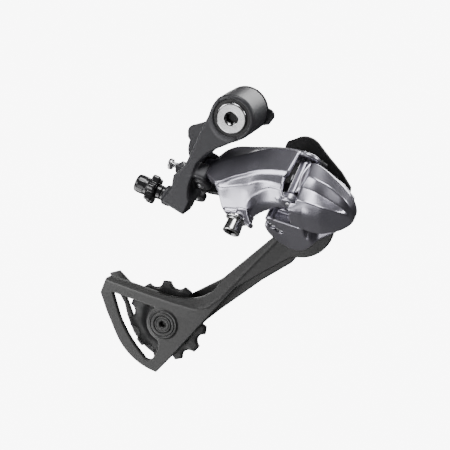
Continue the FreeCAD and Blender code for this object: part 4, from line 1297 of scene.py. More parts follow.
# ---------------------------------------------------------------------------
# Bracket
# ---------------------------------------------------------------------------
@dataclass
class Bracket(SubAssembly):
    """The upper bracket, its pins, springs and the B-tension screw.

    Args:
        front: front face of the arm and barrel.
        arm_back: rear face of the arm.
        barrel: radius of the hanger barrel.
    """

    front: float = -23.5
    arm_back: float = -4.5
    barrel_back: float = -3.2
    barrel: float = 11.5
    ears: dict[str, Point2] = field(default_factory=lambda: {
        "top": (1.95, 5.5), "low": (-12.5, -8.35), "inner_top": (4.35, 8.0), "inner_low": (-12.6, -8.95)})

    def build(self) -> None:
        """Builds the bracket's pieces."""
        self.casting()
        self.rivets()
        self.springs()
        self.screw()
        self.keep("b_bush", PLASTIC, "plastic_black")

    def casting(self) -> None:
        """The black cast bracket."""
        grid = Field(ROW, (-41.5, -24.6, -53.5), (13, 12.8, 13), 0.33)
        x, y, z = grid.here
        arm = Outline((-7.0, 9.1)).line((-13.6, -2.5), (-24.6, -25.9), (-30.6, -31.2), (-31.8, -38.0), (-35.6, -42.8),
                                        (-37.1, -45.4), (-25.7, -51.1), (-24.0, -48.7), (-21.9, -43.9))
        arm.arc((-22.4, -38.4), (-21.2, -33.4)).line((-19.1, -27.3), (-18.0, -24.6))
        arm.arc((-12.6, -19.2), (-4.9, -14.7)).line((2.5, -11.2))
        thick = np.interp(grid.lines[2], [-46.0, -42.5], [self.front + 11.5, self.arm_back]).astype(np.float32)
        arm_depth = np.maximum(self.front - y, y - thick[None, None, :])
        grid.join(rounded(arm.distance(x, z), arm_depth, 1.1), 0.0)
        hub = grid.at(along((0, 0, 0), (0, 1, 0)))
        grid.join(rod(hub, self.barrel, self.front, self.barrel_back, 0.8), 1.2)
        foot = Outline((-32.5, -39.0)).line((-35.0, -42.4), (-34.6, -44.6), (-26.0, -45.6), (-22.6, -43.6),
                                            (-26.0, -41.6))
        grid.join(rounded(foot.distance(x, z), np.maximum(self.arm_back - 1 - y, y - 0.5), 0.9), 1.0)
        pins = grid.at(PLAN.pins)
        inner = grid.at(PLAN.inner_pins)
        top, low = self.ears["top"], self.ears["low"]
        grid.join(block(pins, (-9.0, -3.6, top[0]), (0, 3.6, top[1]), 0.7), 1.0)
        grid.join(rod(pins, 3.6, top[0], top[1], 0.5), 0.2)
        grid.join(block(pins, (-10.0, -4.6, low[0]), (0, 4.6, low[1]), 0.7), 1.0)
        grid.join(rod(pins, 5.2, low[0], low[1], 0.9), 0.2)
        hood = block(pins, (-9.0, -9.4, low[0] + 0.8), (3.4, -4.9, low[1] + 4.6), 1.4)
        grid.join(soft_max(hood, np.sqrt(pins[0] ** 2 + pins[1] ** 2) - 9.6, 1.6), 1.2)
        in_top, in_low = self.ears["inner_top"], self.ears["inner_low"]
        grid.join(block(inner, (-8.2, -2.2, in_low[0]), (-4.9, 4.4, in_top[1]), 0.7), 0.8)
        grid.join(block(inner, (-8.2, -2.2, in_top[0]), (0, 4.4, in_top[1]), 0.6), 0.6)
        grid.join(block(inner, (-8.2, -4.4, in_low[0]), (0, 4.4, in_low[1]), 0.6), 0.6)
        grid.join(rod(inner, 4.4, in_top[0], in_top[1], 0.5), 0.2)
        grid.join(rod(inner, 4.4, in_low[0], in_low[1], 0.5), 0.2)
        screw = grid.at(PLAN.b_screw)
        grid.join(rod(screw, 2.9, 6.2, 9.8, 0.5), 0.8)
        web = Outline((-36.2, -30.4)).line((-31.6, -31.6), (-31.4, -37.8), (-34.5, -38.6), (-36.4, -34.0))
        grid.join(rounded(web.distance(x, z), np.maximum(self.arm_back - 1.5 - y, y + 0.6), 0.6), 0.8)
        adjuster = grid.at(PLAN.adjuster)
        grid.join(rod(adjuster, 5.1, 15.6, 20.0, 0.6), 1.5)
        self._openings(grid, hub, pins, inner, screw, adjuster)
        self.net(grid, Role("bracket_casting", Body.BRACKET, "bracket_black", BRACKET, ("b_knuckle",)))

    def _openings(self, grid: Field, hub: Coordinates, pins: Coordinates, inner: Coordinates,
                  screw: Coordinates, adjuster: Coordinates) -> None:
        """Bores and clearances of the casting.

        Args:
            grid: the casting's field.
            hub: coordinates along the hanger bolt.
            pins: coordinates at the outer pin.
            inner: coordinates at the inner pin.
            screw: coordinates at the B-tension screw.
            adjuster: coordinates at the cable adjuster.
        """
        x, y, z = grid.here
        grid.cut(rod(hub, 9.35, self.front - 4, self.front + 4.1, 0.0), 0.5)
        grid.cut(rod(hub, 7.0, self.front - 4, 9.0, 0.0), 0.2)
        grid.cut(rod(hub, 9.6, self.front + 6.5, 9.0, 0.0), 0.3)
        grid.cut(rod(pins, 4.3, -8.35, 1.95, 0.0), 0.25)
        grid.cut(rod(inner, 4.0, -8.95, 4.35, 0.0), 0.25)
        room = np.maximum(np.maximum(-3.9 - y, y + 0.7), np.sqrt(x * x + z * z) - 44.6)
        room = np.maximum(room, self.barrel + 0.4 - np.sqrt(x * x + z * z))
        room = np.maximum(room, np.maximum(np.maximum(-33.0 - x, x), np.maximum(-46 - z, z + 8)))
        grid.cut(room, 0.25)
        grid.cut(rod(screw, 1.55, 0.0, 16.0, 0.0), 0.2)
        grid.cut(rod(adjuster, 3.75, 10.0, 22.9, 0.0), 0.3)

    def rivets(self) -> None:
        """The two pins that the links turn on."""
        for label, axes, low, high, node in (
                ("outer", PLAN.pins, -13.1, 6.0, "b_outer_pin"), ("inner", PLAN.inner_pins, -13.0, 8.4, "b_inner_pin")):
            self.net(rivet(axes, low, high, low), Role("bracket_pin_" + label, Body.BRACKET, "steel_plain", STEEL, (node,)))

    def springs(self) -> None:
        """The two coils that the bracket holds."""
        hub = along((0, -16.9, 0), (0, 1, 0))
        self.place(coil_mesh("hanger_spring", hub, 6.0, 8.27, 0.75, 11.5, STEEL),
                   Role("hanger_spring", Body.BRACKET, "steel_plain", STEEL, ("b_spring",)))
        axes = PLAN.inner_pins.moved(0.0, 0.0, -8.5)
        self.place(coil_mesh("link_spring", axes, 3.0, 3.25, 0.6, 4.5, STEEL),
                   Role("link_spring", Body.BRACKET, "steel_plain", STEEL, ("return_spring",)))

    def screw(self) -> None:
        """The B-tension screw with its cross head."""
        axes = PLAN.b_screw
        grid = Field(axes, (-3.3, -3.3, -0.5), (3.3, 3.3, 13.9), 0.14)
        q = grid.here
        grid.join(rod(q, 2.8, 0.0, 2.2, 0.35), 0.0)
        grid.join(thread(q, 1.5, 0.5, 1.8, 13.4, 0.15), 0.1)
        cross_cut(grid, q, 0.0, 1.5, 0.42, 1.7)
        self.net(grid, Role("tension_screw_piece", Body.TENSION_SCREW, "steel_bright", CHROME, ("b_tension_screw",)))


def rivet(axes: Axes, low: float, high: float, face: float) -> Field:
    """A riveted pin with a dimple in its visible end.

    Args:
        axes: pin axes.
        low: lower end.
        high: upper end.
        face: which end carries the dimple.

    Returns:
        The field.
    """
    grid = Field(axes, (-3.2, -3.2, low - 0.6), (3.2, 3.2, high + 0.6), FINE)
    q = grid.here
    grid.join(rod(q, 2.0, low, high, 0.35), 0.0)
    grid.cut(cone(q, 1.0, 0.2, face - 0.3, face + 0.7, 0.0), 0.2)
    return grid


def thread(q: Coordinates, radius: float, pitch: float, low: float, high: float, depth: float) -> Array:
    """Distance to a threaded rod along local Z.

    Args:
        q: local coordinates.
        radius: outside radius.
        pitch: thread pitch.
        low: lower end.
        high: upper end.
        depth: depth of the thread.

    Returns:
        The distances.
    """
    phase = (q[2] / pitch - np.arctan2(q[1], q[0]) / (2 * math.pi)) % 1.0
    wave = depth * np.abs(phase - 0.5) * 2
    radial = (np.sqrt(q[0] ** 2 + q[1] ** 2) - radius + wave) * 0.8
    return soft_max(radial, np.maximum(low - q[2], q[2] - high), 0.15)


def cross_cut(grid: Field, q: Coordinates, face: float, depth: float, half_width: float, half_length: float) -> None:
    """Cuts a cross recess into the low end of a screw.

    Args:
        grid: the screw's field.
        q: its coordinates.
        face: position of the end.
        depth: depth of the recess.
        half_width: half the width of each slot.
        half_length: half the length of each slot.
    """
    for a, b in ((0, 1), (1, 0)):
        slot = np.maximum(np.abs(q[a]) - half_length + (q[2] - face) * 0.5, np.abs(q[b]) - half_width)
        grid.cut(np.maximum(slot, q[2] - face - depth), 0.1)


# ---------------------------------------------------------------------------
# Cable adjuster
# ---------------------------------------------------------------------------
@dataclass
class CableAdjuster(SubAssembly):
    """The barrel adjuster that the cable housing ends in.

    Args:
        knob: radius of the smooth knob.
        knob_length: its length.
        flange: radius of the lobed grip.
        flange_length: its length.
        lobes: number of lobes.
        neck: radius of the neck.
        socket: radius of the housing socket.
    """

    knob: float = 4.5
    knob_length: float = 7.0
    flange: float = 6.2
    flange_length: float = 4.4
    lobes: int = 6
    neck: float = 3.7
    socket: float = 2.6

    def build(self) -> None:
        """Builds the grip and the hollow bolt."""
        self.grip()
        self.bolt()

    def grip(self) -> None:
        """The turned knob with its lobed grip."""
        grid = Field(PLAN.adjuster, (-8.6, -8.6, -0.7), (8.6, 8.6, 12.0), 0.22)
        q = grid.here
        radial = np.sqrt(q[0] ** 2 + q[1] ** 2)
        angle = np.arctan2(q[1], q[0])
        end = self.knob_length + self.flange_length
        grid.join(rod(q, self.knob, 0.0, self.knob_length + 1.0, 0.6), 0.0)
        ribs = np.cos(angle * 14) * 0.07
        band = soft_max(radial - self.knob - 0.1 - ribs, np.maximum(1.4 - q[2], q[2] - 5.2), 0.3)
        grid.join(band, 0.15)
        wave = 0.5 + 0.5 * np.cos(angle * self.lobes)
        reach = self.flange - 1.0 + 2.4 * wave
        body = soft_max((radial - reach) * 0.8, np.maximum(self.knob_length - q[2], q[2] - end), 1.3)
        grid.join(body, 0.6)
        grid.cut(rod(q, self.socket + 0.85, -2.0, end + 1, 0.0), 0.3)
        self.net(grid, Role("adjuster_grip", Body.ADJUSTER, "adjuster_black", GLOSS, ("cable_adjuster",)))

    def bolt(self) -> None:
        """The hollow bolt inside the grip."""
        end = self.knob_length + self.flange_length
        grid = Field(PLAN.adjuster, (-4.4, -4.4, 0.0), (4.4, 4.4, 23.2), 0.2)
        q = grid.here
        grid.join(rod(q, self.socket + 0.78, 0.35, end + 0.5, 0.2), 0.0)
        grid.join(rod(q, self.neck, end + 0.1, end + 11.2, 0.3), 0.1)
        grid.cut(rod(q, 4.4, 14.0, 14.5, 0.0) * 1.0 + np.maximum(0.0, 3.35 - np.sqrt(q[0] ** 2 + q[1] ** 2)), 0.15)
        grid.cut(rod(q, self.socket, -1.0, 7.4, 0.0), 0.2)
        grid.cut(rod(q, 0.9, -1.0, 30.0, 0.0), 0.15)
        self.net(grid, Role("adjuster_tube", Body.ADJUSTER, "adjuster_black", GLOSS, ("adjuster_bolt",)))


# ---------------------------------------------------------------------------
# Links
# ---------------------------------------------------------------------------
class Crests:
    """A relief given by crest lines that run along one direction."""

    def __init__(self, stations: Sequence[float], lines: Sequence[Sequence[Point2]]) -> None:
        """Stores the crest lines.

        Args:
            stations: positions along the piece.
            lines: for each crest, its (height, across) at each station.
        """
        self.stations = np.array(stations, float)
        self.lines = np.array(lines, float)

    @staticmethod
    def _curve(at: Array, x: Array, y: Array) -> Array:
        """Smooth interpolation without overshoot."""
        step = np.diff(x)
        slope = np.diff(y) / step
        tangent = np.empty(len(x))
        tangent[0], tangent[-1] = slope[0], slope[-1]
        same = slope[1:] * slope[:-1] > 0
        weight = np.where(same, 2 * slope[1:] * slope[:-1] / np.where(same, slope[1:] + slope[:-1], 1.0), 0.0)
        tangent[1:-1] = weight
        cell = np.clip(np.searchsorted(x, at) - 1, 0, len(step) - 1)
        t = np.clip((at - x[cell]) / step[cell], 0.0, 1.0)
        h = step[cell]
        return ((2 * t ** 3 - 3 * t ** 2 + 1) * y[cell] + (t ** 3 - 2 * t ** 2 + t) * h * tangent[cell]
                + (-2 * t ** 3 + 3 * t ** 2) * y[cell + 1] + (t ** 3 - t ** 2) * h * tangent[cell + 1])

    def relief(self, along_line: Array, across_line: Array, soften: float) -> Array:
        """Height on a grid of positions along and across the piece.

        Args:
            along_line: positions along.
            across_line: positions across.
            soften: how far the creases are rounded, in grid steps.

        Returns:
            The heights, one row for each position along.
        """
        height = [self._curve(along_line, self.stations, line[:, 0]) for line in self.lines]
        across = [self._curve(along_line, self.stations, line[:, 1]) for line in self.lines]
        result = np.empty((len(along_line), len(across_line)), np.float32)
        for i in range(len(along_line)):
            xs = np.array([a[i] for a in across])
            hs = np.array([h[i] for h in height])
            order = np.argsort(xs)
            xs, hs = xs[order], hs[order]
            first = hs[0] - (hs[1] - hs[0]) / max(xs[1] - xs[0], 0.3) * 20
            last = hs[-1] + (hs[-1] - hs[-2]) / max(xs[-1] - xs[-2], 0.3) * 20
            result[i] = np.interp(across_line, [xs[0] - 20, *xs, xs[-1] + 20], [first, *hs, last])
        return self.blur(result, soften)

    def edge(self, line: int, along_line: Array) -> Array:
        """Position across of one crest.

        Args:
            line: number of the crest.
            along_line: positions along.

        Returns:
            Its position across at each.
        """
        return self._curve(along_line, self.stations, self.lines[line][:, 1]).astype(np.float32)

    @staticmethod
    def blur(values: Array, reach: float) -> Array:
        """Blurs a grid with a Gaussian.

        Args:
            values: the grid.
            reach: standard deviation in grid steps.

        Returns:
            The blurred grid.
        """
        half = max(int(reach * 3), 1)
        weights = np.exp(-0.5 * (np.arange(-half, half + 1) / max(reach, 1e-3)) ** 2)
        weights /= weights.sum()
        padded = np.pad(values, half, mode="edge")
        rows = sum(w * padded[i:i + values.shape[0], :] for i, w in enumerate(weights))
        both = sum(w * rows[:, i:i + values.shape[1]] for i, w in enumerate(weights))
        return both.astype(np.float32)


@dataclass
class OuterArm(SubAssembly):
    """The silver outer link with its cable clamp.

    Args:
        wall: wall thickness of the shell.
        clamp_s: clamp position along the link.
        clamp_off: clamp position inboard of the pins' plane.
        clamp_face: lower face of the clamp pad along the pins.
    """

    wall: float = 2.1
    clamp_s: float = 21.8
    clamp_off: float = 9.2
    clamp_face: float = -21.4
    lug: float = 9.0

    STATIONS = (2.5, 6.0, 10.0, 14.0, 16.5, 22.0, 27.0, 31.0, 35.0, 39.0, 43.5, 48.0, 52.0)
    TOP = ((-3.0, 2.6), (-2.6, 7.4), (-2.2, 11.0), (-2.0, 12.2), (-2.0, 12.6), (-2.0, 13.2), (-2.0, 14.0),
           (-2.0, 14.5), (-2.0, 15.0), (-2.0, 15.2), (-2.0, 15.2), (-2.0, 15.1), (-2.0, 15.0))
    CREST = ((-5.6, -5.0), (-7.0, -3.6), (-7.8, -1.2), (-8.0, 0.9), (-8.0, 2.1), (-8.1, 4.6), (-8.4, 6.7),
             (-8.6, 8.2), (-8.8, 9.5), (-9.0, 10.2), (-9.1, 10.6), (-9.1, 10.5), (-9.0, 10.1))
    FACE = ((-6.4, -6.6), (-7.6, -8.6), (-8.4, -11.0), (-8.9, -12.9), (-9.1, -12.2), (-9.4, -9.0), (-9.5, -6.6),
            (-9.6, -4.7), (-9.7, -3.1), (-9.7, -2.2), (-9.8, -1.6), (-9.8, -1.3), (-9.7, -1.1))
    GROOVE = ((-5.6, -7.4), (-6.6, -9.4), (-7.4, -11.7), (-7.9, -13.6), (-8.2, -13.0), (-8.4, -10.0),
              (-8.6, -7.9), (-8.7, -6.2), (-8.8, -5.0), (-8.8, -4.3), (-8.9, -3.8), (-8.9, -3.5), (-8.9, -3.3))
    FLAP = ((-5.0, -8.2), (-6.0, -10.3), (-6.8, -12.4), (-7.2, -14.4), (-7.2, -15.0), (-7.6, -13.6),
            (-7.8, -12.2), (-7.6, -11.0), (-8.2, -9.0), (-8.4, -8.0), (-8.5, -7.6), (-8.5, -7.8), (-8.4, -8.4))
    TURN = ((-4.2, -8.8), (-5.2, -11.0), (-6.0, -13.0), (-2.5, -16.6), (-1.5, -17.2), (-0.6, -17.2), (2.0, -18.2),
            (-1.6, -16.4), (-4.0, -13.8), (-6.0, -11.8), (-7.2, -10.5), (-7.6, -10.8), (-7.6, -12.0))
    FOOT = ((-3.0, -9.4), (-4.0, -11.6), (-4.8, -13.6), (4.8, -20.4), (6.0, -21.2), (6.4, -21.3), (7.0, -20.8),
            (5.0, -18.6), (3.6, -16.4), (2.4, -15.1), (1.0, -14.5), (0.0, -14.4), (-0.6, -14.6))

    def build(self) -> None:
        """Builds the link, its clamp and the washer."""
        self.link()
        self.washer()
        self.clamp_bolt()

    def link(self) -> None:
        """The cast outer link."""
        grid = Field(PLAN.link, (-6.0, -12.0, -29.0), (60.5, 15.5, 17.0), BROAD)
        s, off, c = grid.here
        lines = (self.TOP, self.CREST, self.FACE, self.GROOVE, self.FLAP, self.TURN, self.FOOT)
        crests = Crests(self.STATIONS, lines)
        relief = crests.relief(grid.lines[0], grid.lines[2], 0.9)
        slope_s, slope_c = np.gradient(relief, grid.step)
        lean = 1.0 / np.sqrt(1.0 + slope_s ** 2 + slope_c ** 2)
        lean = np.maximum(lean, 0.35)
        surface, lean = relief[:, None, :], lean[:, None, :]
        outer = (surface - off) * lean
        inner = (off - surface) * lean - self.wall
        top = crests.edge(0, grid.lines[0])[:, None, None]
        foot = crests.edge(6, grid.lines[0])[:, None, None]
        left = np.interp(grid.lines[2], [-30, -15.5, -13.2, -11.4, -8.0, -4.0, 0.0, 8.0, 14.0],
                         [14.4, 13.8, 12.6, 8.2, 4.2, 3.0, 3.4, 7.0, 14.0]).astype(np.float32)[None, None, :]
        right = np.interp(grid.lines[2], [-16.0, -12.0, -9.0, -4.0, -2.0, 3.0, 10.0, 14.0],
                          [50.0, 51.0, 50.2, 49.4, 51.2, 51.6, 52.0, 50.0]).astype(np.float32)[None, None, :]
        rim = soft_max(soft_max(c - top, foot - c, 1.0), soft_max(left - s, s - right, 1.0), 1.6)
        shell = soft_max(soft_max(outer, inner, 0.7), rim, 0.9)
        grid.join(shell, 0.0)
        for place in (18.0, 27.5):
            rib = block(grid.here, (place, -9.0, -14.0), (place + 1.6, -0.6, 8.0), 0.5)
            grid.join(soft_max(soft_max(rib, outer + 0.8, 0.3), rim + 1.0, 0.3), 0.4)
        self._ends(grid)
        self._clamp_pad(grid)
        grid.cut(rod(grid.at(PLAN.pins), 2.05, -25, 25, 0.0), 0.15)
        grid.cut(rod(grid.at(PLAN.rear), 2.05, -25, 25, 0.0), 0.15)
        self.net(grid, Role("outer_link_casting", Body.OUTER_ARM, "body_silver", SILVER, ("outer_link",)))

    def _ends(self, grid: Field) -> None:
        """Barrel and ears at the two ends of the link.

        Args:
            grid: the link's field.
        """
        here = grid.here
        pins = grid.at(PLAN.pins)
        grid.join(rod(pins, 3.9, -8.0, 1.6, 0.4), 0.8)
        grid.join(block(here, (1.8, -6.0, -7.8), (11.0, 1.2, 0.6), 0.8), 1.0)
        rear = grid.at(Axes(PLAN.rear.origin, PLAN.link.rows))
        top = self.lug + 0.95
        grid.join(rod(rear, 6.4, top, top + 2.8, 0.7), 0.8)
        grid.join(block(rear, (-9.5, -6.2, top), (0, 2.8, top + 2.8), 0.7), 0.9)
        low = -self.lug - 0.35
        grid.join(rod(rear, 5.2, low - 4.8, low, 0.8), 0.8)
        grid.join(block(rear, (-7.0, -3.2, low - 3.6), (0, 3.4, low), 0.8), 0.9)

    def _clamp_pad(self, grid: Field) -> None:
        """Pad that the cable is clamped against, with its guide hook.

        Args:
            grid: the link's field.
        """
        here = grid.here
        clamp = grid.at(PLAN.link.moved(self.clamp_s, self.clamp_off, self.clamp_face))
        grid.join(block(clamp, (-5.6, -5.6, 0.0), (5.6, 2.6, 5.0), 0.9), 1.4)
        grid.join(rod(clamp, 5.4, 0.0, 3.2, 0.4), 0.6)
        hook = Outline((24.0, -17.5)).line((29.0, -18.5), (30.6, -21.2), (33.4, -24.6)).arc((34.2, -26.6), (32.6, -27.0))
        hook.line((30.4, -26.0), (28.6, -22.6), (26.0, -21.4), (24.0, -21.4))
        depth = np.maximum(3.2 - here[1], here[1] - 7.0)
        grid.join(rounded(hook.distance(here[0], here[2]), depth, 0.7), 0.9)
        grid.cut(rod(clamp, 2.55, -9.0, 9.0, 0.0), 0.2)
        groove = np.sqrt((clamp[1] - 3.4) ** 2 + clamp[2] ** 2) - 0.8
        grid.cut(groove, 0.2)

    def washer(self) -> None:
        """The clamp washer with its bent tab."""
        axes = PLAN.link.moved(self.clamp_s, self.clamp_off, self.clamp_face)
        grid = Field(axes, (-6.4, -6.4, -2.2), (8.6, 6.4, 3.4), 0.18)
        q = grid.here
        grid.join(rod(q, 5.7, -1.5, 0.0, 0.25), 0.0)
        grid.join(block(q, (0, -2.6, -1.5), (7.6, 2.6, 0.0), 0.3), 0.4)
        grid.join(block(q, (6.2, -2.6, -1.5), (7.6, 2.6, 2.7), 0.3), 0.4)
        grid.cut(rod(q, 2.55, -9, 9, 0.0), 0.15)
        self.net(grid, Role("clamp_washer", Body.OUTER_ARM, "steel_bright", CHROME, ("cable_clamp_washer",)))

    def clamp_bolt(self) -> None:
        """The clamp bolt with its hex socket."""
        axes = PLAN.link.moved(self.clamp_s, self.clamp_off, self.clamp_face)
        grid = Field(axes, (-5.2, -5.2, -9.2), (5.2, 5.2, 6.6), 0.17)
        q = grid.here
        grid.join(cone(q, 4.5, 4.0, -8.5, -1.5, 0.35), 0.0)
        grid.join(rod(q, 4.5, -2.3, -1.5, 0.2), 0.2)
        grid.join(thread(q, 2.5, 0.8, -1.6, 6.0, 0.2), 0.1)
        grid.cut(cone(q, 3.4, 2.7, -9.0, -7.9, 0.0), 0.15)
        grid.cut(hexagon(q, 5.0, -9.5, -4.5), 0.15)
        # The bolt's finish paints shade into the hex socket.
        mouth = axes.moved(0.0, 0.0, -8.5).origin
        finish = replace(CHROME, name="clamp_bolt_steel_painted_shade",
                         socket=PaintedShadeSocket(tuple(map(float, mouth)), tuple(map(float, axes.rows[2])), 2.95))
        self.net(grid, Role("clamp_bolt_piece", Body.CLAMP_BOLT, "steel_bright", finish, ("cable_clamp_bolt",)))


@dataclass
class InnerArm(SubAssembly):
    """The inner link.

    Args:
        barrel: radius of its ends.
        low: lower end along the pins.
        high: upper end.
    """

    barrel: float = 3.6
    low: float = -8.6
    high: float = 4.0

    def build(self) -> None:
        """Builds the link."""
        axes = Axes(PLAN.inner_pins.origin, PLAN.link.rows)
        length = PLAN.link_length
        grid = Field(axes, (-4.6, -4.6, self.low - 0.8), (length + 4.6, 4.6, self.high + 0.8), MEDIUM)
        q = grid.here
        grid.join(block(q, (0, -1.5, self.low), (length, 1.5, self.high), 0.6), 0.0)
        far = (q[0] - length, q[1], q[2])
        for end in (q, far):
            grid.join(rod(end, self.barrel, self.low, self.high, 0.4), 0.8)
        for place in (9.0, 30.0):
            window = block(q, (place, -4, -5.2), (place + 14.0, 4, 0.8), 1.2)
            shallow = np.maximum(window, 0.7 - np.abs(q[1]))
            grid.cut(shallow, 0.4)
        grid.cut(rod(q, 2.05, -20, 20, 0.0), 0.15)
        grid.cut(rod(far, 2.4, -20, 20, 0.0), 0.15)
        grid.cut(rod(q, 4.3, -12.0, -2.5, 0.0), 0.2)
        self.net(grid, Role("inner_link_piece", Body.INNER_ARM, "bracket_black", BRACKET, ("inner_link",)))


# ---------------------------------------------------------------------------
# Rear body
# ---------------------------------------------------------------------------
@dataclass
class RearBody(SubAssembly):
    """The silver rear body that carries the cage.

    Args:
        lug: half length of the outer pin's lug.
        floor: flat lower face along the pins.
        barrel: radius of the cage pivot's barrel.
        cavity: radius of the spring cavity.
        back: rear face, from the pulley plane.
    """

    lug: float = 9.0
    floor: float = -18.0
    barrel: float = 12.2
    cavity: float = 8.5
    back: float = -8.45

    STATIONS = (-3.0, 1.0, 5.0, 10.0, 16.0, 22.0, 26.0, 29.0, 31.5)
    ROOF = ((-0.5, 9.0), (-1.0, 9.4), (-1.6, 9.9), (-1.8, 9.0), (-1.6, 7.0), (-1.0, 4.6), (0.0, 2.2), (2.0, -0.6), (5.0, -3.0))
    SHOULDER = ((-3.6, 7.4), (-5.0, 7.7), (-6.6, 7.9), (-7.2, 6.6), (-6.8, 4.2), (-5.6, 1.5), (-4.2, -0.8), (-1.2, -3.3), (4.0, -5.0))
    UPPER = ((-5.2, 0.0), (-6.8, -0.2), (-8.6, -0.3), (-9.7, -1.3), (-9.8, -2.4), (-8.6, -4.2), (-6.8, -5.6), (-3.2, -6.8), (3.0, -7.6))
    LOWER = ((-4.2, -6.6), (-5.6, -6.4), (-6.8, -6.0), (-7.2, -6.4), (-6.2, -7.3), (-5.0, -8.3), (-3.6, -9.0), (-1.0, -9.6), (3.8, -9.8))
    CHIN = ((-4.8, -12.0), (-6.0, -12.6), (-7.6, -13.2), (-8.5, -13.6), (-8.3, -13.6), (-6.9, -12.8), (-4.6, -11.9),
            (-1.2, -11.0), (4.0, -10.7))
    KEEL = ((-3.0, -18.0), (-3.2, -18.0), (-3.6, -18.0), (-3.6, -18.0), (-2.8, -17.5), (-0.8, -15.2), (1.0, -13.2),
            (3.0, -11.6), (6.0, -10.9))

    def build(self) -> None:
        """Builds the casting, its pins, screws and spring."""
        self.casting()
        self.rivets()
        self.limit_screws()
        ax, az = PLAN.axle
        start = along((ax, PLAN.pulley_y - 14.1, az), (0, 1, 0))
        self.place(coil_mesh("cage_spring", start, 2.5, 6.25, 0.5, 3.25, STEEL),
                   Role("cage_spring", Body.REAR, "steel_plain", STEEL, ("p_spring",)))
        self.keep("p_bush", BRONZE, "bronze")
        self.keep("p_circlip", STEEL, "steel_plain")
        self.keep("p_seal_ring", PLASTIC, "plastic_black")

    def casting(self) -> None:
        """The silver cast body."""
        grid = Field(PLAN.rear, (-18.0, -11.5, -19.5), (33.0, 49.0, 13.5), BROAD)
        e1, e2, c = grid.here
        lines = (self.ROOF, self.SHOULDER, self.UPPER, self.LOWER, self.CHIN, self.KEEL)
        crests = Crests(self.STATIONS, lines)
        relief = crests.relief(grid.lines[0], grid.lines[2], 0.9)
        slope_e, slope_c = np.gradient(relief, grid.step)
        lean = np.maximum(1.0 / np.sqrt(1.0 + slope_e ** 2 + slope_c ** 2), 0.35)
        front = (relief[:, None, :] - e2) * lean[:, None, :]
        roof = crests.edge(0, grid.lines[0])[:, None, None]
        keel = crests.edge(5, grid.lines[0])[:, None, None] - 0.3 * np.maximum(8.0 - e1, 0.0)
        nose_end = 30.4 - 0.012 * (c + 6.0) ** 2
        depth = np.interp(grid.lines[0], [0.0, 5.0, 11.0, 18.0, 25.0, 30.0],
                          [12.0, 15.0, 16.0, 14.5, 12.5, 9.0]).astype(np.float32)[:, None, None] + np.zeros_like(c)
        skin = soft_max(front, c - roof, 2.4)
        skin = soft_max(skin, e1 - nose_end, 2.0)
        skin = soft_max(skin, keel - c, 3.5)
        body = soft_max(skin, np.maximum(e2 - depth, 0.8 - e1), 1.0)
        hollow = soft_max(skin + 2.6, np.maximum(9.0 - e1, self.floor + 4.0 - c), 1.5)
        grid.join(body, 0.0)
        grid.cut(hollow, 0.6)
        self._skirt(grid)
        grid.join(rod(grid.here, 3.1, -self.lug, self.lug, 0.3), 0.6)
        self._barrel(grid)
        self._ears(grid)
        self._openings(grid)
        self.net(grid, Role("rear_casting", Body.REAR, "body_silver", SILVER, ("p_body",)))

    def _skirt(self, grid: Field) -> None:
        """Shell that carries the body back to the cage.

        Args:
            grid: the casting's field.
        """
        origin = PLAN.rear.origin
        x, y, z = grid.at(ROW)
        rim = Outline((-12.0, -41.5)).line((-5.9, -41.5), (-1.4, -38.0), (3.5, -34.4), (9.5, -30.8), (14.9, -28.0),
                                           (17.6, -24.0), (20.2, -18.2), (20.6, -12.8), (13.4, -4.8), (6.8, 0.5), (-4.0, -14.0))
        inside = Outline((-4.0, -36.5)).line((2.2, -32.6), (8.4, -28.9), (13.6, -26.2), (15.8, -22.8), (18.2, -17.4),
                                             (18.4, -13.6), (11.9, -6.4), (6.6, -2.4), (2.0, -8.0), (-2.0, -17.5))
        back = PLAN.pulley_y + self.back
        outline = rim.distance(x - origin[0], z - origin[2])
        grid.join(rounded(outline, np.maximum(back - 14.0 - y, y - back), 0.8), 5.0)
        pocket = inside.distance(x - origin[0], z - origin[2])
        grid.cut(np.maximum(pocket, back - 10.0 - y), 0.5)

    def _barrel(self, grid: Field) -> None:
        """Barrel of the cage pivot and the body's flat underside.

        Args:
            grid: the casting's field.
        """
        ax, az = PLAN.axle
        hub = grid.at(along((ax, PLAN.pulley_y, az), (0, 1, 0)))
        grid.join(rod(hub, self.barrel, -26.0, self.back, 0.7), 3.5)
        tongue = Outline((-13.0, 19.0)).arc((-11.0, 15.6), (-8.0, 15.6)).line((7.2, 15.6), (8.0, 34.6), (-5.0, 32.2))
        q = grid.here
        grid.join(rounded(tongue.distance(q[0], q[1]), np.maximum(self.floor - q[2], q[2] + 7.5), 1.0), 1.4)
        grid.keep(self.floor - q[2], 0.9)
        lug_turn = math.radians(53.1) - math.asin(1.45 / 15.5)
        out = np.array([math.cos(lug_turn), 0.0, math.sin(lug_turn)])
        over = np.array([math.sin(lug_turn), 0.0, -math.cos(lug_turn)])
        stop = grid.at(Axes(np.array([ax, PLAN.pulley_y + self.back, az]), np.array([out, over, [0.0, 1.0, 0.0]])))
        grid.join(block(stop, (self.barrel - 1, 0, -4.6), (16.9, 4.5, 0), 0.3), 0.4)

    def _ears(self, grid: Field) -> None:
        """Ears of the inner pin.

        Args:
            grid: the casting's field.
        """
        inner = grid.at(PLAN.rear_inner)
        grid.join(rod(inner, 4.4, -12.6, -8.95, 0.5), 0.6)
        grid.join(rod(inner, 4.4, 4.35, 8.0, 0.5), 0.4)
        grid.join(block(inner, (0, -9.0, 4.35), (9.0, 4.4, 8.0), 0.6), 0.6)
        grid.join(block(inner, (4.6, -14.0, -14.1), (10.5, 4.4, 8.0), 0.8), 1.0)

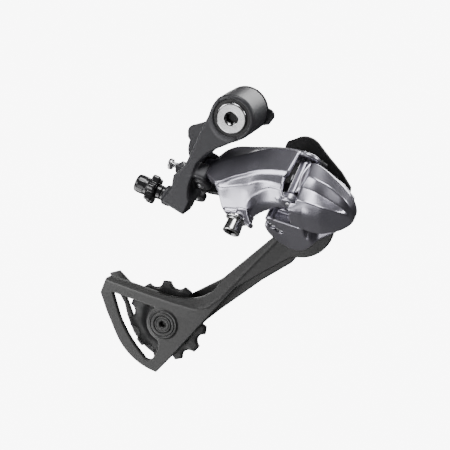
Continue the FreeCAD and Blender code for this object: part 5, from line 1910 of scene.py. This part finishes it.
    def _openings(self, grid: Field) -> None:
        """Bores and clearances of the casting.

        Args:
            grid: the casting's field.
        """
        q = grid.here
        e1, e2, c = q
        radial = np.sqrt(e1 ** 2 + e2 ** 2)
        angle = np.degrees(np.arctan2(e2, e1))
        ring = np.maximum(np.abs(radial - 8.35) - 1.75, np.maximum(-150 - angle, angle + 61) * 0.12)
        grid.cut(np.maximum(ring, np.abs(c) - 16) + np.zeros_like(c), 0.5)
        grid.cut(rod(q, 6.7, -self.lug - 5.6, -self.lug - 0.05, 0.0), 0.5)
        grid.cut(block(q, (-17, -8.4, -14.6), (-0.5, 9.0, -self.lug - 0.05), 0.2), 0.5)
        grid.cut(rod(q, 6.9, self.lug + 0.05, 22, 0.0), 0.5)
        inner = grid.at(PLAN.rear_inner)
        grid.cut(rod(inner, 4.05, -8.95, 4.35, 0.0), 0.3)
        room = Outline((0.0, 2.6)).line((-16.0, 9.8), (-16.0, -15.0), (0.0, -2.6))
        grid.cut(np.maximum(room.distance(inner[0], inner[1]), np.maximum(-8.95 - inner[2], inner[2] - 4.35)), 0.3)
        ax, az = PLAN.axle
        hub = grid.at(along((ax, PLAN.pulley_y, az), (0, 1, 0)))
        grid.cut(rod(hub, 5.0, -19.1, 9.0, 0.0), 0.15)
        grid.cut(rod(hub, self.cavity, -15.3, 9.0, 0.0), 0.25)
        grid.cut(rod(q, 2.0, -20, 20, 0.0), 0.15)
        for e1_at, e2_at in ((-10.0, 23.9), (-6.2, 27.1)):
            moved = (e1 - e1_at, e2 - e2_at, c)
            grid.cut(rod(moved, 2.2, self.floor - 4, self.floor + 1.2, 0.0), 0.4)
            grid.cut(rod(moved, 1.55, self.floor - 4, self.floor + 10.0, 0.0), 0.1)
        self._pin_track(grid, hub)

    def _pin_track(self, grid: Field, hub: Coordinates) -> None:
        """Room for the cage's stop pin.

        Args:
            grid: the casting's field.
            hub: coordinates along the cage pivot.
        """
        ax, az = PLAN.axle
        x, y, z = grid.at(ROW)
        radial = np.sqrt((x - ax) ** 2 + (z - az) ** 2)
        angle = np.degrees(np.arctan2(z - az, x - ax))
        sector = np.maximum(47.9 - angle, angle - 165.0) * 0.25
        track = np.maximum(np.abs(radial - 15.5) - 1.5, np.maximum(PLAN.pulley_y + self.back - 3.4 - y, sector))
        grid.cut(track, 0.3)

    def rivets(self) -> None:
        """The two pins of the rear body."""
        for label, axes, low, high, node in (
                ("outer", PLAN.rear, -14.5, 12.6, "p_outer_pin"), ("inner", PLAN.rear_inner, -11.4, 8.4, "p_inner_pin")):
            self.net(rivet(axes, low, high, low), Role("rear_pin_" + label, Body.REAR, "steel_plain", STEEL, (node,)))

    def limit_screws(self) -> None:
        """The two limit screws in the flat underside."""
        for place, body, node in (((-10.0, 23.9), Body.LIMIT_HIGH, "limit_screw_high"),
                                  ((-6.2, 27.1), Body.LIMIT_LOW, "limit_screw_low")):
            axes = PLAN.rear.moved(place[0], place[1], self.floor + 0.6)
            grid = Field(axes, (-2.0, -2.0, -0.5), (2.0, 2.0, 9.5), 0.12)
            q = grid.here
            grid.join(rod(q, 1.5, 0.0, 1.4, 0.2), 0.0)
            grid.join(thread(q, 1.5, 0.5, 1.0, 9.0, 0.15), 0.1)
            cross_cut(grid, q, 0.0, 1.1, 0.28, 1.15)
            self.net(grid, Role(node + "_piece", body, "steel_plain", STEEL, (node,)))


# ---------------------------------------------------------------------------
# Cage
# ---------------------------------------------------------------------------
@dataclass
class Cage(SubAssembly):
    """The two cage plates and their bolts.

    Args:
        outer_thick: thickness of the outer plate.
        inner_thick: thickness of the inner plate.
        gap: distance between them.
        lobe: radius of the outer plate round the pivot.
    """

    outer_thick: float = 2.6
    inner_thick: float = 1.8
    gap: float = 8.5
    lobe: float = 18.4
    boss: float = 0.8

    @property
    def outer_back(self) -> float:
        """Rear face of the outer plate."""
        return PLAN.pulley_y - self.gap / 2

    @property
    def inner_front(self) -> float:
        """Front face of the inner plate."""
        return PLAN.pulley_y + self.gap / 2

    @staticmethod
    def at_axle(x: float, z: float) -> Point2:
        """A point measured from the cage pivot."""
        return PLAN.axle[0] + x, PLAN.axle[1] + z

    @staticmethod
    def at_tension(x: float, z: float) -> Point2:
        """A point measured from the tension pulley."""
        return PLAN.tension[0] + x, PLAN.tension[1] + z

    def build(self) -> None:
        """Builds the plates and the bolts."""
        self.outer_plate()
        self.inner_plate()
        self.bolts()
        for node in ("p_axle", "cage_stop_pin", "guide_bush", "tension_bush", "guide_dust_caps", "tension_dust_caps"):
            self.keep(node, STEEL, "steel_plain")

    def outer_plate(self) -> None:
        """The outer plate with its ridge, window and boss."""
        a, t, lobe = self.at_axle, self.at_tension, self.lobe
        outline = Outline(t(-29.3, 22.9)).line(t(-2.6, 16.9)).arc(t(5.4, 15.4), t(12.9, 15.4))
        outline.arc(t(24.2, 18.8), t(32.3, 28.2)).line(a(-12.8, -8.2)).arc(a(-8.6, -2.6), a(-7.6, 4.0))
        outline.arc(a(-3.4, 13.0), a(4.8, 17.8)).arc(a(lobe * 0.766, lobe * 0.643), a(lobe, 0.0))
        outline.arc(a(lobe * 0.707, -lobe * 0.707), a(0.0, -lobe)).line(a(-4.0, -18.6), a(-33.2, -37.9), t(22.5, 4.1),
                                                                       t(5.2, -16.5), t(-4.4, -27.2))
        outline.arc(t(-16.5, -21.4), t(-27.4, -6.8)).line(t(-31.9, 3.8), t(-35.2, 13.5), t(-31.8, 21.6))
        window = Outline(t(-27.9, 14.1)).line(t(-5.3, 8.6)).arc(t(-9.6, 0.0), t(-3.4, -9.4)).arc(t(-3.2, -11.0), t(-5.6, -17.4))
        window.arc(t(-8.0, -20.6), t(-11.2, -18.8)).arc(t(-19.4, -8.2), t(-24.2, 1.6))
        ridge = [(-78.6, -98.1), (-65.2, -101.4), (-51.4, -104.6), (-40.7, -106.9), (-31.9, -108.4), (-28.0, -108.6),
                 (-23.1, -107.4), (-16.0, -101.6), (15.6, -66.4), (24.0, -58.0)]
        back, front = self.outer_back, self.outer_back - self.outer_thick
        grid = Field(ROW, (-83.4, front - 1.6, -148.0), (46.0, back + 0.8, -37.4), 0.34)
        x, y, z = grid.here
        above, away = self._ridge(ridge, x, z)
        slope = np.where(above > 0, np.minimum(above * 0.16, 1.0), np.minimum(away * 0.05, 0.35))
        face = front - 0.45 + slope - 0.2 * np.exp(-(away / 0.55) ** 2)
        face = Crests.blur(face[:, 0, :], 0.8)[:, None, :]
        tx, tz = PLAN.tension
        ax, az = PLAN.axle
        edge = outline.distance(x, z)
        depth = np.maximum(face - y, y - back)
        grid.join(rounded(edge, depth, 0.45), 0.0)
        pulley = grid.at(along((tx, 0, tz), (0, 1, 0)))
        grid.join(cone(pulley, 7.6, 8.4, front - self.boss, back, 0.25), 0.8)
        grid.cut(window.distance(x, z) + np.zeros_like(y), 0.9)
        grid.cut(rod(pulley, 4.75, front - 5, front - self.boss + 1.7, 0.0), 0.3)
        ring = np.maximum(np.abs(np.sqrt(pulley[0] ** 2 + pulley[1] ** 2) - 6.6) - 0.28, pulley[2] - front + self.boss - 0.3)
        grid.cut(ring, 0.2)
        grid.cut(rod(pulley, 2.5, -50, 50, 0.0), 0.1)
        guide = grid.at(along((*PLAN.guide[:1], 0, PLAN.guide[1]), (0, 1, 0)))
        grid.cut(rod(guide, 2.5, -50, 50, 0.0), 0.1)
        hub = grid.at(along((ax, 0, az), (0, 1, 0)))
        grid.cut(rod(hub, 4.0, -50, 50, 0.0), 0.1)
        turn = math.radians(53.1)
        stop = grid.at(along((ax + 15.5 * math.cos(turn), 0, az + 15.5 * math.sin(turn)), (0, 1, 0)))
        grid.cut(rod(stop, 1.1, -50, 50, 0.0), 0.1)
        self.net(grid, Role("cage_plate_outer", Body.CAGE, "cage_black", CAGE, ("outer_plate",)))

    @staticmethod
    def _ridge(points: Sequence[Point2], x: Array, z: Array) -> tuple[Array, Array]:
        """Signed and plain distance to the ridge line, positive on its upper side."""
        best = np.full(np.broadcast(x, z).shape, 1e9, np.float32)
        side = np.zeros_like(best)
        for (ax, az), (bx, bz) in zip(points, points[1:]):
            ex, ez = bx - ax, bz - az
            share = np.clip(((x - ax) * ex + (z - az) * ez) / (ex * ex + ez * ez), 0.0, 1.0)
            gap = np.hypot(x - ax - ex * share, z - az - ez * share)
            cross = ex * (z - az) - ez * (x - ax)
            nearer = gap < best
            side = np.where(nearer, np.sign(cross), side)
            best = np.where(nearer, gap, best)
        return best * side, best

    def inner_plate(self) -> None:
        """The inner plate with its chain shield and window."""
        a, t = self.at_axle, self.at_tension
        outline = Outline(t(-28.8, 22.6)).line(t(-21.8, 16.0)).arc(t(-8.0, 9.6), t(6.0, 12.0)).line(
            t(11.8, 14.7), t(27.7, 24.1), a(-38.0, -32.4), a(-16.0, -11.4), a(-11.2, 35.6), a(-10.0, 38.0), a(-5.6, 39.8))
        outline.arc(a(0.6, 41.2), a(6.4, 38.2)).line(a(12.0, 31.5), a(18.6, 24.4), a(23.3, 17.2), a(21.8, 5.0), a(14.0, -4.0))
        outline.arc(a(10.6, -13.0), a(2.0, -19.6)).line(a(-5.0, -22.4), a(-7.4, -25.4), a(-23.0, -36.2), t(27.0, 7.2),
                                                       t(19.4, 0.4), t(6.0, -14.6), t(-4.6, -23.6))
        outline.arc(t(-14.0, -18.6), t(-21.4, -10.6)).line(t(-24.9, -1.7), t(-26.4, 5.1), t(-29.9, 11.0), t(-34.6, 20.6))
        window = Outline(t(-26.0, 11.4)).line(t(-14.0, 9.6)).arc(t(-8.2, 5.4), t(-8.6, -3.0))
        window.arc(t(-9.0, -9.0), t(-13.0, -13.4)).line(t(-20.0, -4.6))
        front, back = self.inner_front, self.inner_front + self.inner_thick
        grid = Field(ROW, (-82.8, front - 0.8, -145.0), (51.0, back + 0.8, -14.8), 0.36)
        x, y, z = grid.here
        edge = outline.distance(x, z)
        grid.join(rounded(edge, np.maximum(front - y, y - back), 0.5), 0.0)
        grid.cut(window.distance(x, z) + np.zeros_like(y), 0.7)
        panel = np.maximum(edge + 4.0, back - 0.45 - y)
        hub_gap = np.minimum(np.hypot(x - PLAN.guide[0], z - PLAN.guide[1]), np.hypot(x - PLAN.tension[0], z - PLAN.tension[1]))
        grid.cut(np.maximum(panel, 8.0 - hub_gap), 0.5)
        for px, pz in (PLAN.guide, PLAN.tension):
            grid.cut(rod(grid.at(along((px, 0, pz), (0, 1, 0))), 2.5, -50, 50, 0.0), 0.1)
        self.net(grid, Role("cage_plate_inner", Body.CAGE, "cage_black", CAGE, ("inner_plate",)))

    def bolts(self) -> None:
        """The two pulley bolts."""
        front = self.outer_back - self.outer_thick - self.boss
        back = self.inner_front + self.inner_thick
        jobs = (("tension", PLAN.tension, front, 1.0, back + 0.4 - front, "tension_pulley_bolt"),
                ("guide", PLAN.guide, back + 1.6, -1.0, back + 1.6 - self.outer_back + self.outer_thick, "guide_pulley_bolt"))
        for label, (px, pz), start, side, reach, node in jobs:
            axes = along((px, start, pz), (0, side, 0))
            grid = Field(axes, (-5.2, -5.2, -0.6), (5.2, 5.2, reach + 0.6), 0.17)
            q = grid.here
            grid.join(rod(q, 4.6, 0.0, 1.6, 0.3), 0.0)
            grid.join(rod(q, 2.5, 1.0, reach, 0.2), 0.2)
            grid.cut(cone(q, 2.5, 1.7, -0.4, 0.5, 0.0), 0.15)
            grid.cut(hexagon(q, 3.0, -1.0, 2.4), 0.12)
            groove = np.maximum(np.abs(np.sqrt(q[0] ** 2 + q[1] ** 2) - 3.5) - 0.2, q[2] - 0.2)
            grid.cut(groove, 0.15)
            self.net(grid, Role("pulley_bolt_" + label, Body.CAGE, "cage_black", CAGE, (node,)))


# ---------------------------------------------------------------------------
# Pulleys
# ---------------------------------------------------------------------------
@dataclass
class Pulley(SubAssembly):
    """One toothed pulley.

    Args:
        label: which pulley it is.
        centre: its centre in X and Z.
        body: the body it rides on.
        node: the solid node it replaces.
        teeth: number of teeth.
        pitch: chain pitch.
        seat: radius of the roller seats.
        tip: radius of the tooth tips.
        width: tooth width.
        hub: hub radius.
        hub_width: hub width.
        bore: bore radius.
    """

    label: str
    centre: Point2
    body: Body
    node: str
    teeth: int = 11
    pitch: float = 12.7
    seat: float = 4.05
    tip: float = 21.5
    width: float = 2.4
    hub: float = 7.0
    hub_width: float = 6.2
    bore: float = 3.65
    across: int = 26

    def build(self) -> None:
        """Builds one tooth's share of the pulley and repeats it."""
        role = Role(self.label, self.body, "plastic_black", PLASTIC, (self.node,))
        centre = Vector((self.centre[0] * MM, PLAN.pulley_y * MM, self.centre[1] * MM))
        mesh = Ring().run(self.label, self.sector(), {
            "Count": self.teeth, "Centre": centre, "Axis": Vector((0.0, 1.0, 0.0)),
            "Material": PLASTIC.material()})
        self.place(mesh, role)

    def profile(self, turn: Array) -> Array:
        """Outside radius at angles measured from a tooth's middle.

        Args:
            turn: the angles, in radians.

        Returns:
            The radii.
        """
        half = math.pi / self.teeth
        circle = self.pitch / 2 / math.sin(half)
        root = half - np.abs(turn)
        inside = np.clip(self.seat ** 2 - (circle * np.sin(root)) ** 2, 0.0, None)
        cut = circle * np.cos(root) - np.sqrt(inside)
        on_seat = circle * np.abs(np.sin(root)) < self.seat
        reach = np.where(on_seat, cut, self.tip)
        return np.minimum(reach, self.tip - 0.25 * (np.abs(turn) / half) ** 2)

    def sector(self) -> bpy.types.Mesh:
        """One tooth with its share of web and hub.

        Returns:
            The sector, centred on the pulley's axis.
        """
        half = math.pi / self.teeth
        turns = np.linspace(-half, half, self.across * 2 + 1)
        rim = self.profile(turns)
        web = self.width / 2
        rows: list[tuple[Array, float]] = []
        for radius, height in ((self.bore, self.hub_width / 2 - 0.2), (self.bore + 0.2, self.hub_width / 2),
                               (self.hub - 0.4, self.hub_width / 2), (self.hub, self.hub_width / 2 - 0.35),
                               (self.hub + 0.15, web - 0.35), (self.hub + 0.9, web - 0.6), (12.4, web - 0.6),
                               (13.2, web)):
            rows.append((np.full(len(turns), radius), height))
        inner = np.full(len(turns), 13.2)
        for share, height in ((0.35, web), (0.75, web - 0.04), (0.92, web - 0.25), (1.0, web - 0.6)):
            rows.append((inner + (rim - inner) * share, height))
        points, faces = [], []
        order = rows + [(radius, -height) for radius, height in reversed(rows)]
        for radius, height in order:
            points.append(np.stack([radius * np.sin(turns), np.full(len(turns), height), radius * np.cos(turns)], 1))
        count = len(turns)
        total = len(order)
        for row in range(total):
            following = (row + 1) % total
            for i in range(count - 1):
                faces.append((row * count + i, row * count + i + 1, following * count + i + 1, following * count + i))
        mesh = smooth_mesh(self.label + "_sector", np.concatenate(points) * MM, np.array(faces))
        mesh.flip_normals()
        return mesh


# ---------------------------------------------------------------------------
# Stage
# ---------------------------------------------------------------------------
@dataclass
class Studio:
    """Floor, lights and camera.

    Args:
        target: what the camera looks at, in millimetres.
        azimuth: camera direction in degrees, 0 looking along +Y.
        elevation: camera height above the horizon in degrees.
        distance: camera distance in millimetres.
        lens: focal length for a 36 mm sensor.
        floor_level: height of the floor in millimetres.
    """

    target: Point3 = (-9.76, -5.82, -59.41)
    azimuth: float = 20.0
    elevation: float = 16.5
    distance: float = 1000.0
    lens: float = 160.4
    floor_level: float = -700.0

    def build(self) -> None:
        """Builds the stage."""
        self.floor()
        self.lights()
        self.camera()

    def floor(self) -> None:
        """A plain pale floor far below the part."""
        tree = MaterialTree("floor_pale")
        colour = tree.mix(tree.noise(0.002, 2.0), (0.93, 0.93, 0.93), (0.97, 0.97, 0.97))
        shader = tree.node("ShaderNodeBsdfPrincipled", None, {"Base Color": (0.1, 0.1, 0.1, 1.0), "Roughness": 0.9})
        glow = tree.node("ShaderNodeEmission", None, {"Color": colour, "Strength": 9.0})
        seen = tree.node("ShaderNodeLightPath")
        shown = tree.node("ShaderNodeMixShader", None,
                          {0: seen.outputs["Is Camera Ray"], 1: shader.outputs[0], 2: glow.outputs[0]})
        tree.node("ShaderNodeOutputMaterial", None, {"Surface": shown.outputs[0]})
        reach = 6.0
        level = self.floor_level * MM
        points = np.array([[-reach, -reach, level], [reach, -reach, level], [reach, reach, level], [-reach, reach, level]])
        mesh = smooth_mesh("floor", points, np.array([[0, 1, 2, 3]]))
        mesh.materials.append(tree.material)
        floor = bpy.data.objects.new("floor", mesh)
        bpy.context.scene.collection.objects.link(floor)

    def lights(self) -> None:
        """A pale surround and three large soft lights."""
        world = bpy.data.worlds.new("surround")
        bpy.context.scene.world = world
        world.use_nodes = True
        tree = world.node_tree
        tree.nodes.clear()
        seen = tree.nodes.new("ShaderNodeLightPath")
        strength = tree.nodes.new("ShaderNodeMapRange")
        strength.inputs["To Min"].default_value = 0.14
        strength.inputs["To Max"].default_value = 8.5
        shade = tree.nodes.new("ShaderNodeBackground")
        output = tree.nodes.new("ShaderNodeOutputWorld")
        tree.links.new(seen.outputs["Is Camera Ray"], strength.inputs["Value"])
        tree.links.new(strength.outputs["Result"], shade.inputs["Strength"])
        tree.links.new(shade.outputs[0], output.inputs[0])
        shade.inputs["Color"].default_value = (1.0, 1.0, 1.0, 1.0)
        self._light("key", (-0.7, -0.7, 0.3), 0.45, 7.0)
        self._light("low", (-0.52, -0.35, -0.58), 0.6, 8.0)
        self._light("front", (-0.32, -0.9, -0.34), 0.3, 1.0)
        self._light("top", (0.1, -0.3, 0.95), 0.45, 9.0)
        self._light("rim", (0.9, 0.1, 0.35), 0.35, 6.0)
        self._light("back", (0.15, 0.95, 0.35), 0.6, 9.0)
        self._light("back_low", (-0.55, 0.7, -0.2), 0.5, 4.0)

    def _light(self, name: str, place: Point3, size: float, power: float) -> None:
        """Adds one area light that faces the part.

        Args:
            name: its name.
            place: where it is, in metres.
            size: side of the square light, in metres.
            power: power in watts.
        """
        data = bpy.data.lights.new(name, "AREA")
        data.shape = "SQUARE"
        data.size = size
        data.energy = power
        light = bpy.data.objects.new(name, data)
        light.location = place
        aim = Vector(self.target) * MM - Vector(place)
        light.rotation_euler = aim.to_track_quat("-Z", "Y").to_euler()
        bpy.context.scene.collection.objects.link(light)

    def camera(self) -> None:
        """The camera."""
        azimuth, elevation = math.radians(self.azimuth), math.radians(self.elevation)
        back = Vector((math.sin(azimuth) * math.cos(elevation), -math.cos(azimuth) * math.cos(elevation),
                       math.sin(elevation)))
        data = bpy.data.cameras.new("camera")
        data.lens = self.lens
        data.sensor_width = 36.0
        data.clip_end = 50.0
        camera = bpy.data.objects.new("camera", data)
        camera.location = (Vector(self.target) + back * self.distance) * MM
        camera.rotation_euler = (-back).to_track_quat("-Z", "Y").to_euler()
        bpy.context.scene.collection.objects.link(camera)
        bpy.context.scene.camera = camera


def corners(bounds: Sequence[Sequence[float]]) -> list[list[float]]:
    """Plain lists of two corners.

    Args:
        bounds: the lowest and highest corner.

    Returns:
        The corners as lists of numbers.
    """
    return [[float(v) for v in corner] for corner in bounds]


def main() -> None:
    """Builds the whole scene."""
    logging.basicConfig(level=logging.INFO, format="%(name)s %(message)s")
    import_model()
    assemblies: tuple[SubAssembly, ...] = (
        HangerFixings(),
        Bracket(),
        CableAdjuster(),
        OuterArm(),
        InnerArm(),
        RearBody(),
        Cage(),
        Pulley("guide_pulley_wheel", PLAN.guide, Body.GUIDE, "guide_pulley"),
        Pulley("tension_pulley_wheel", PLAN.tension, Body.TENSION, "tension_pulley"),
    )
    for assembly in assemblies:
        assembly.build()
    Studio().build()


if __name__ == "__main__":
    main()
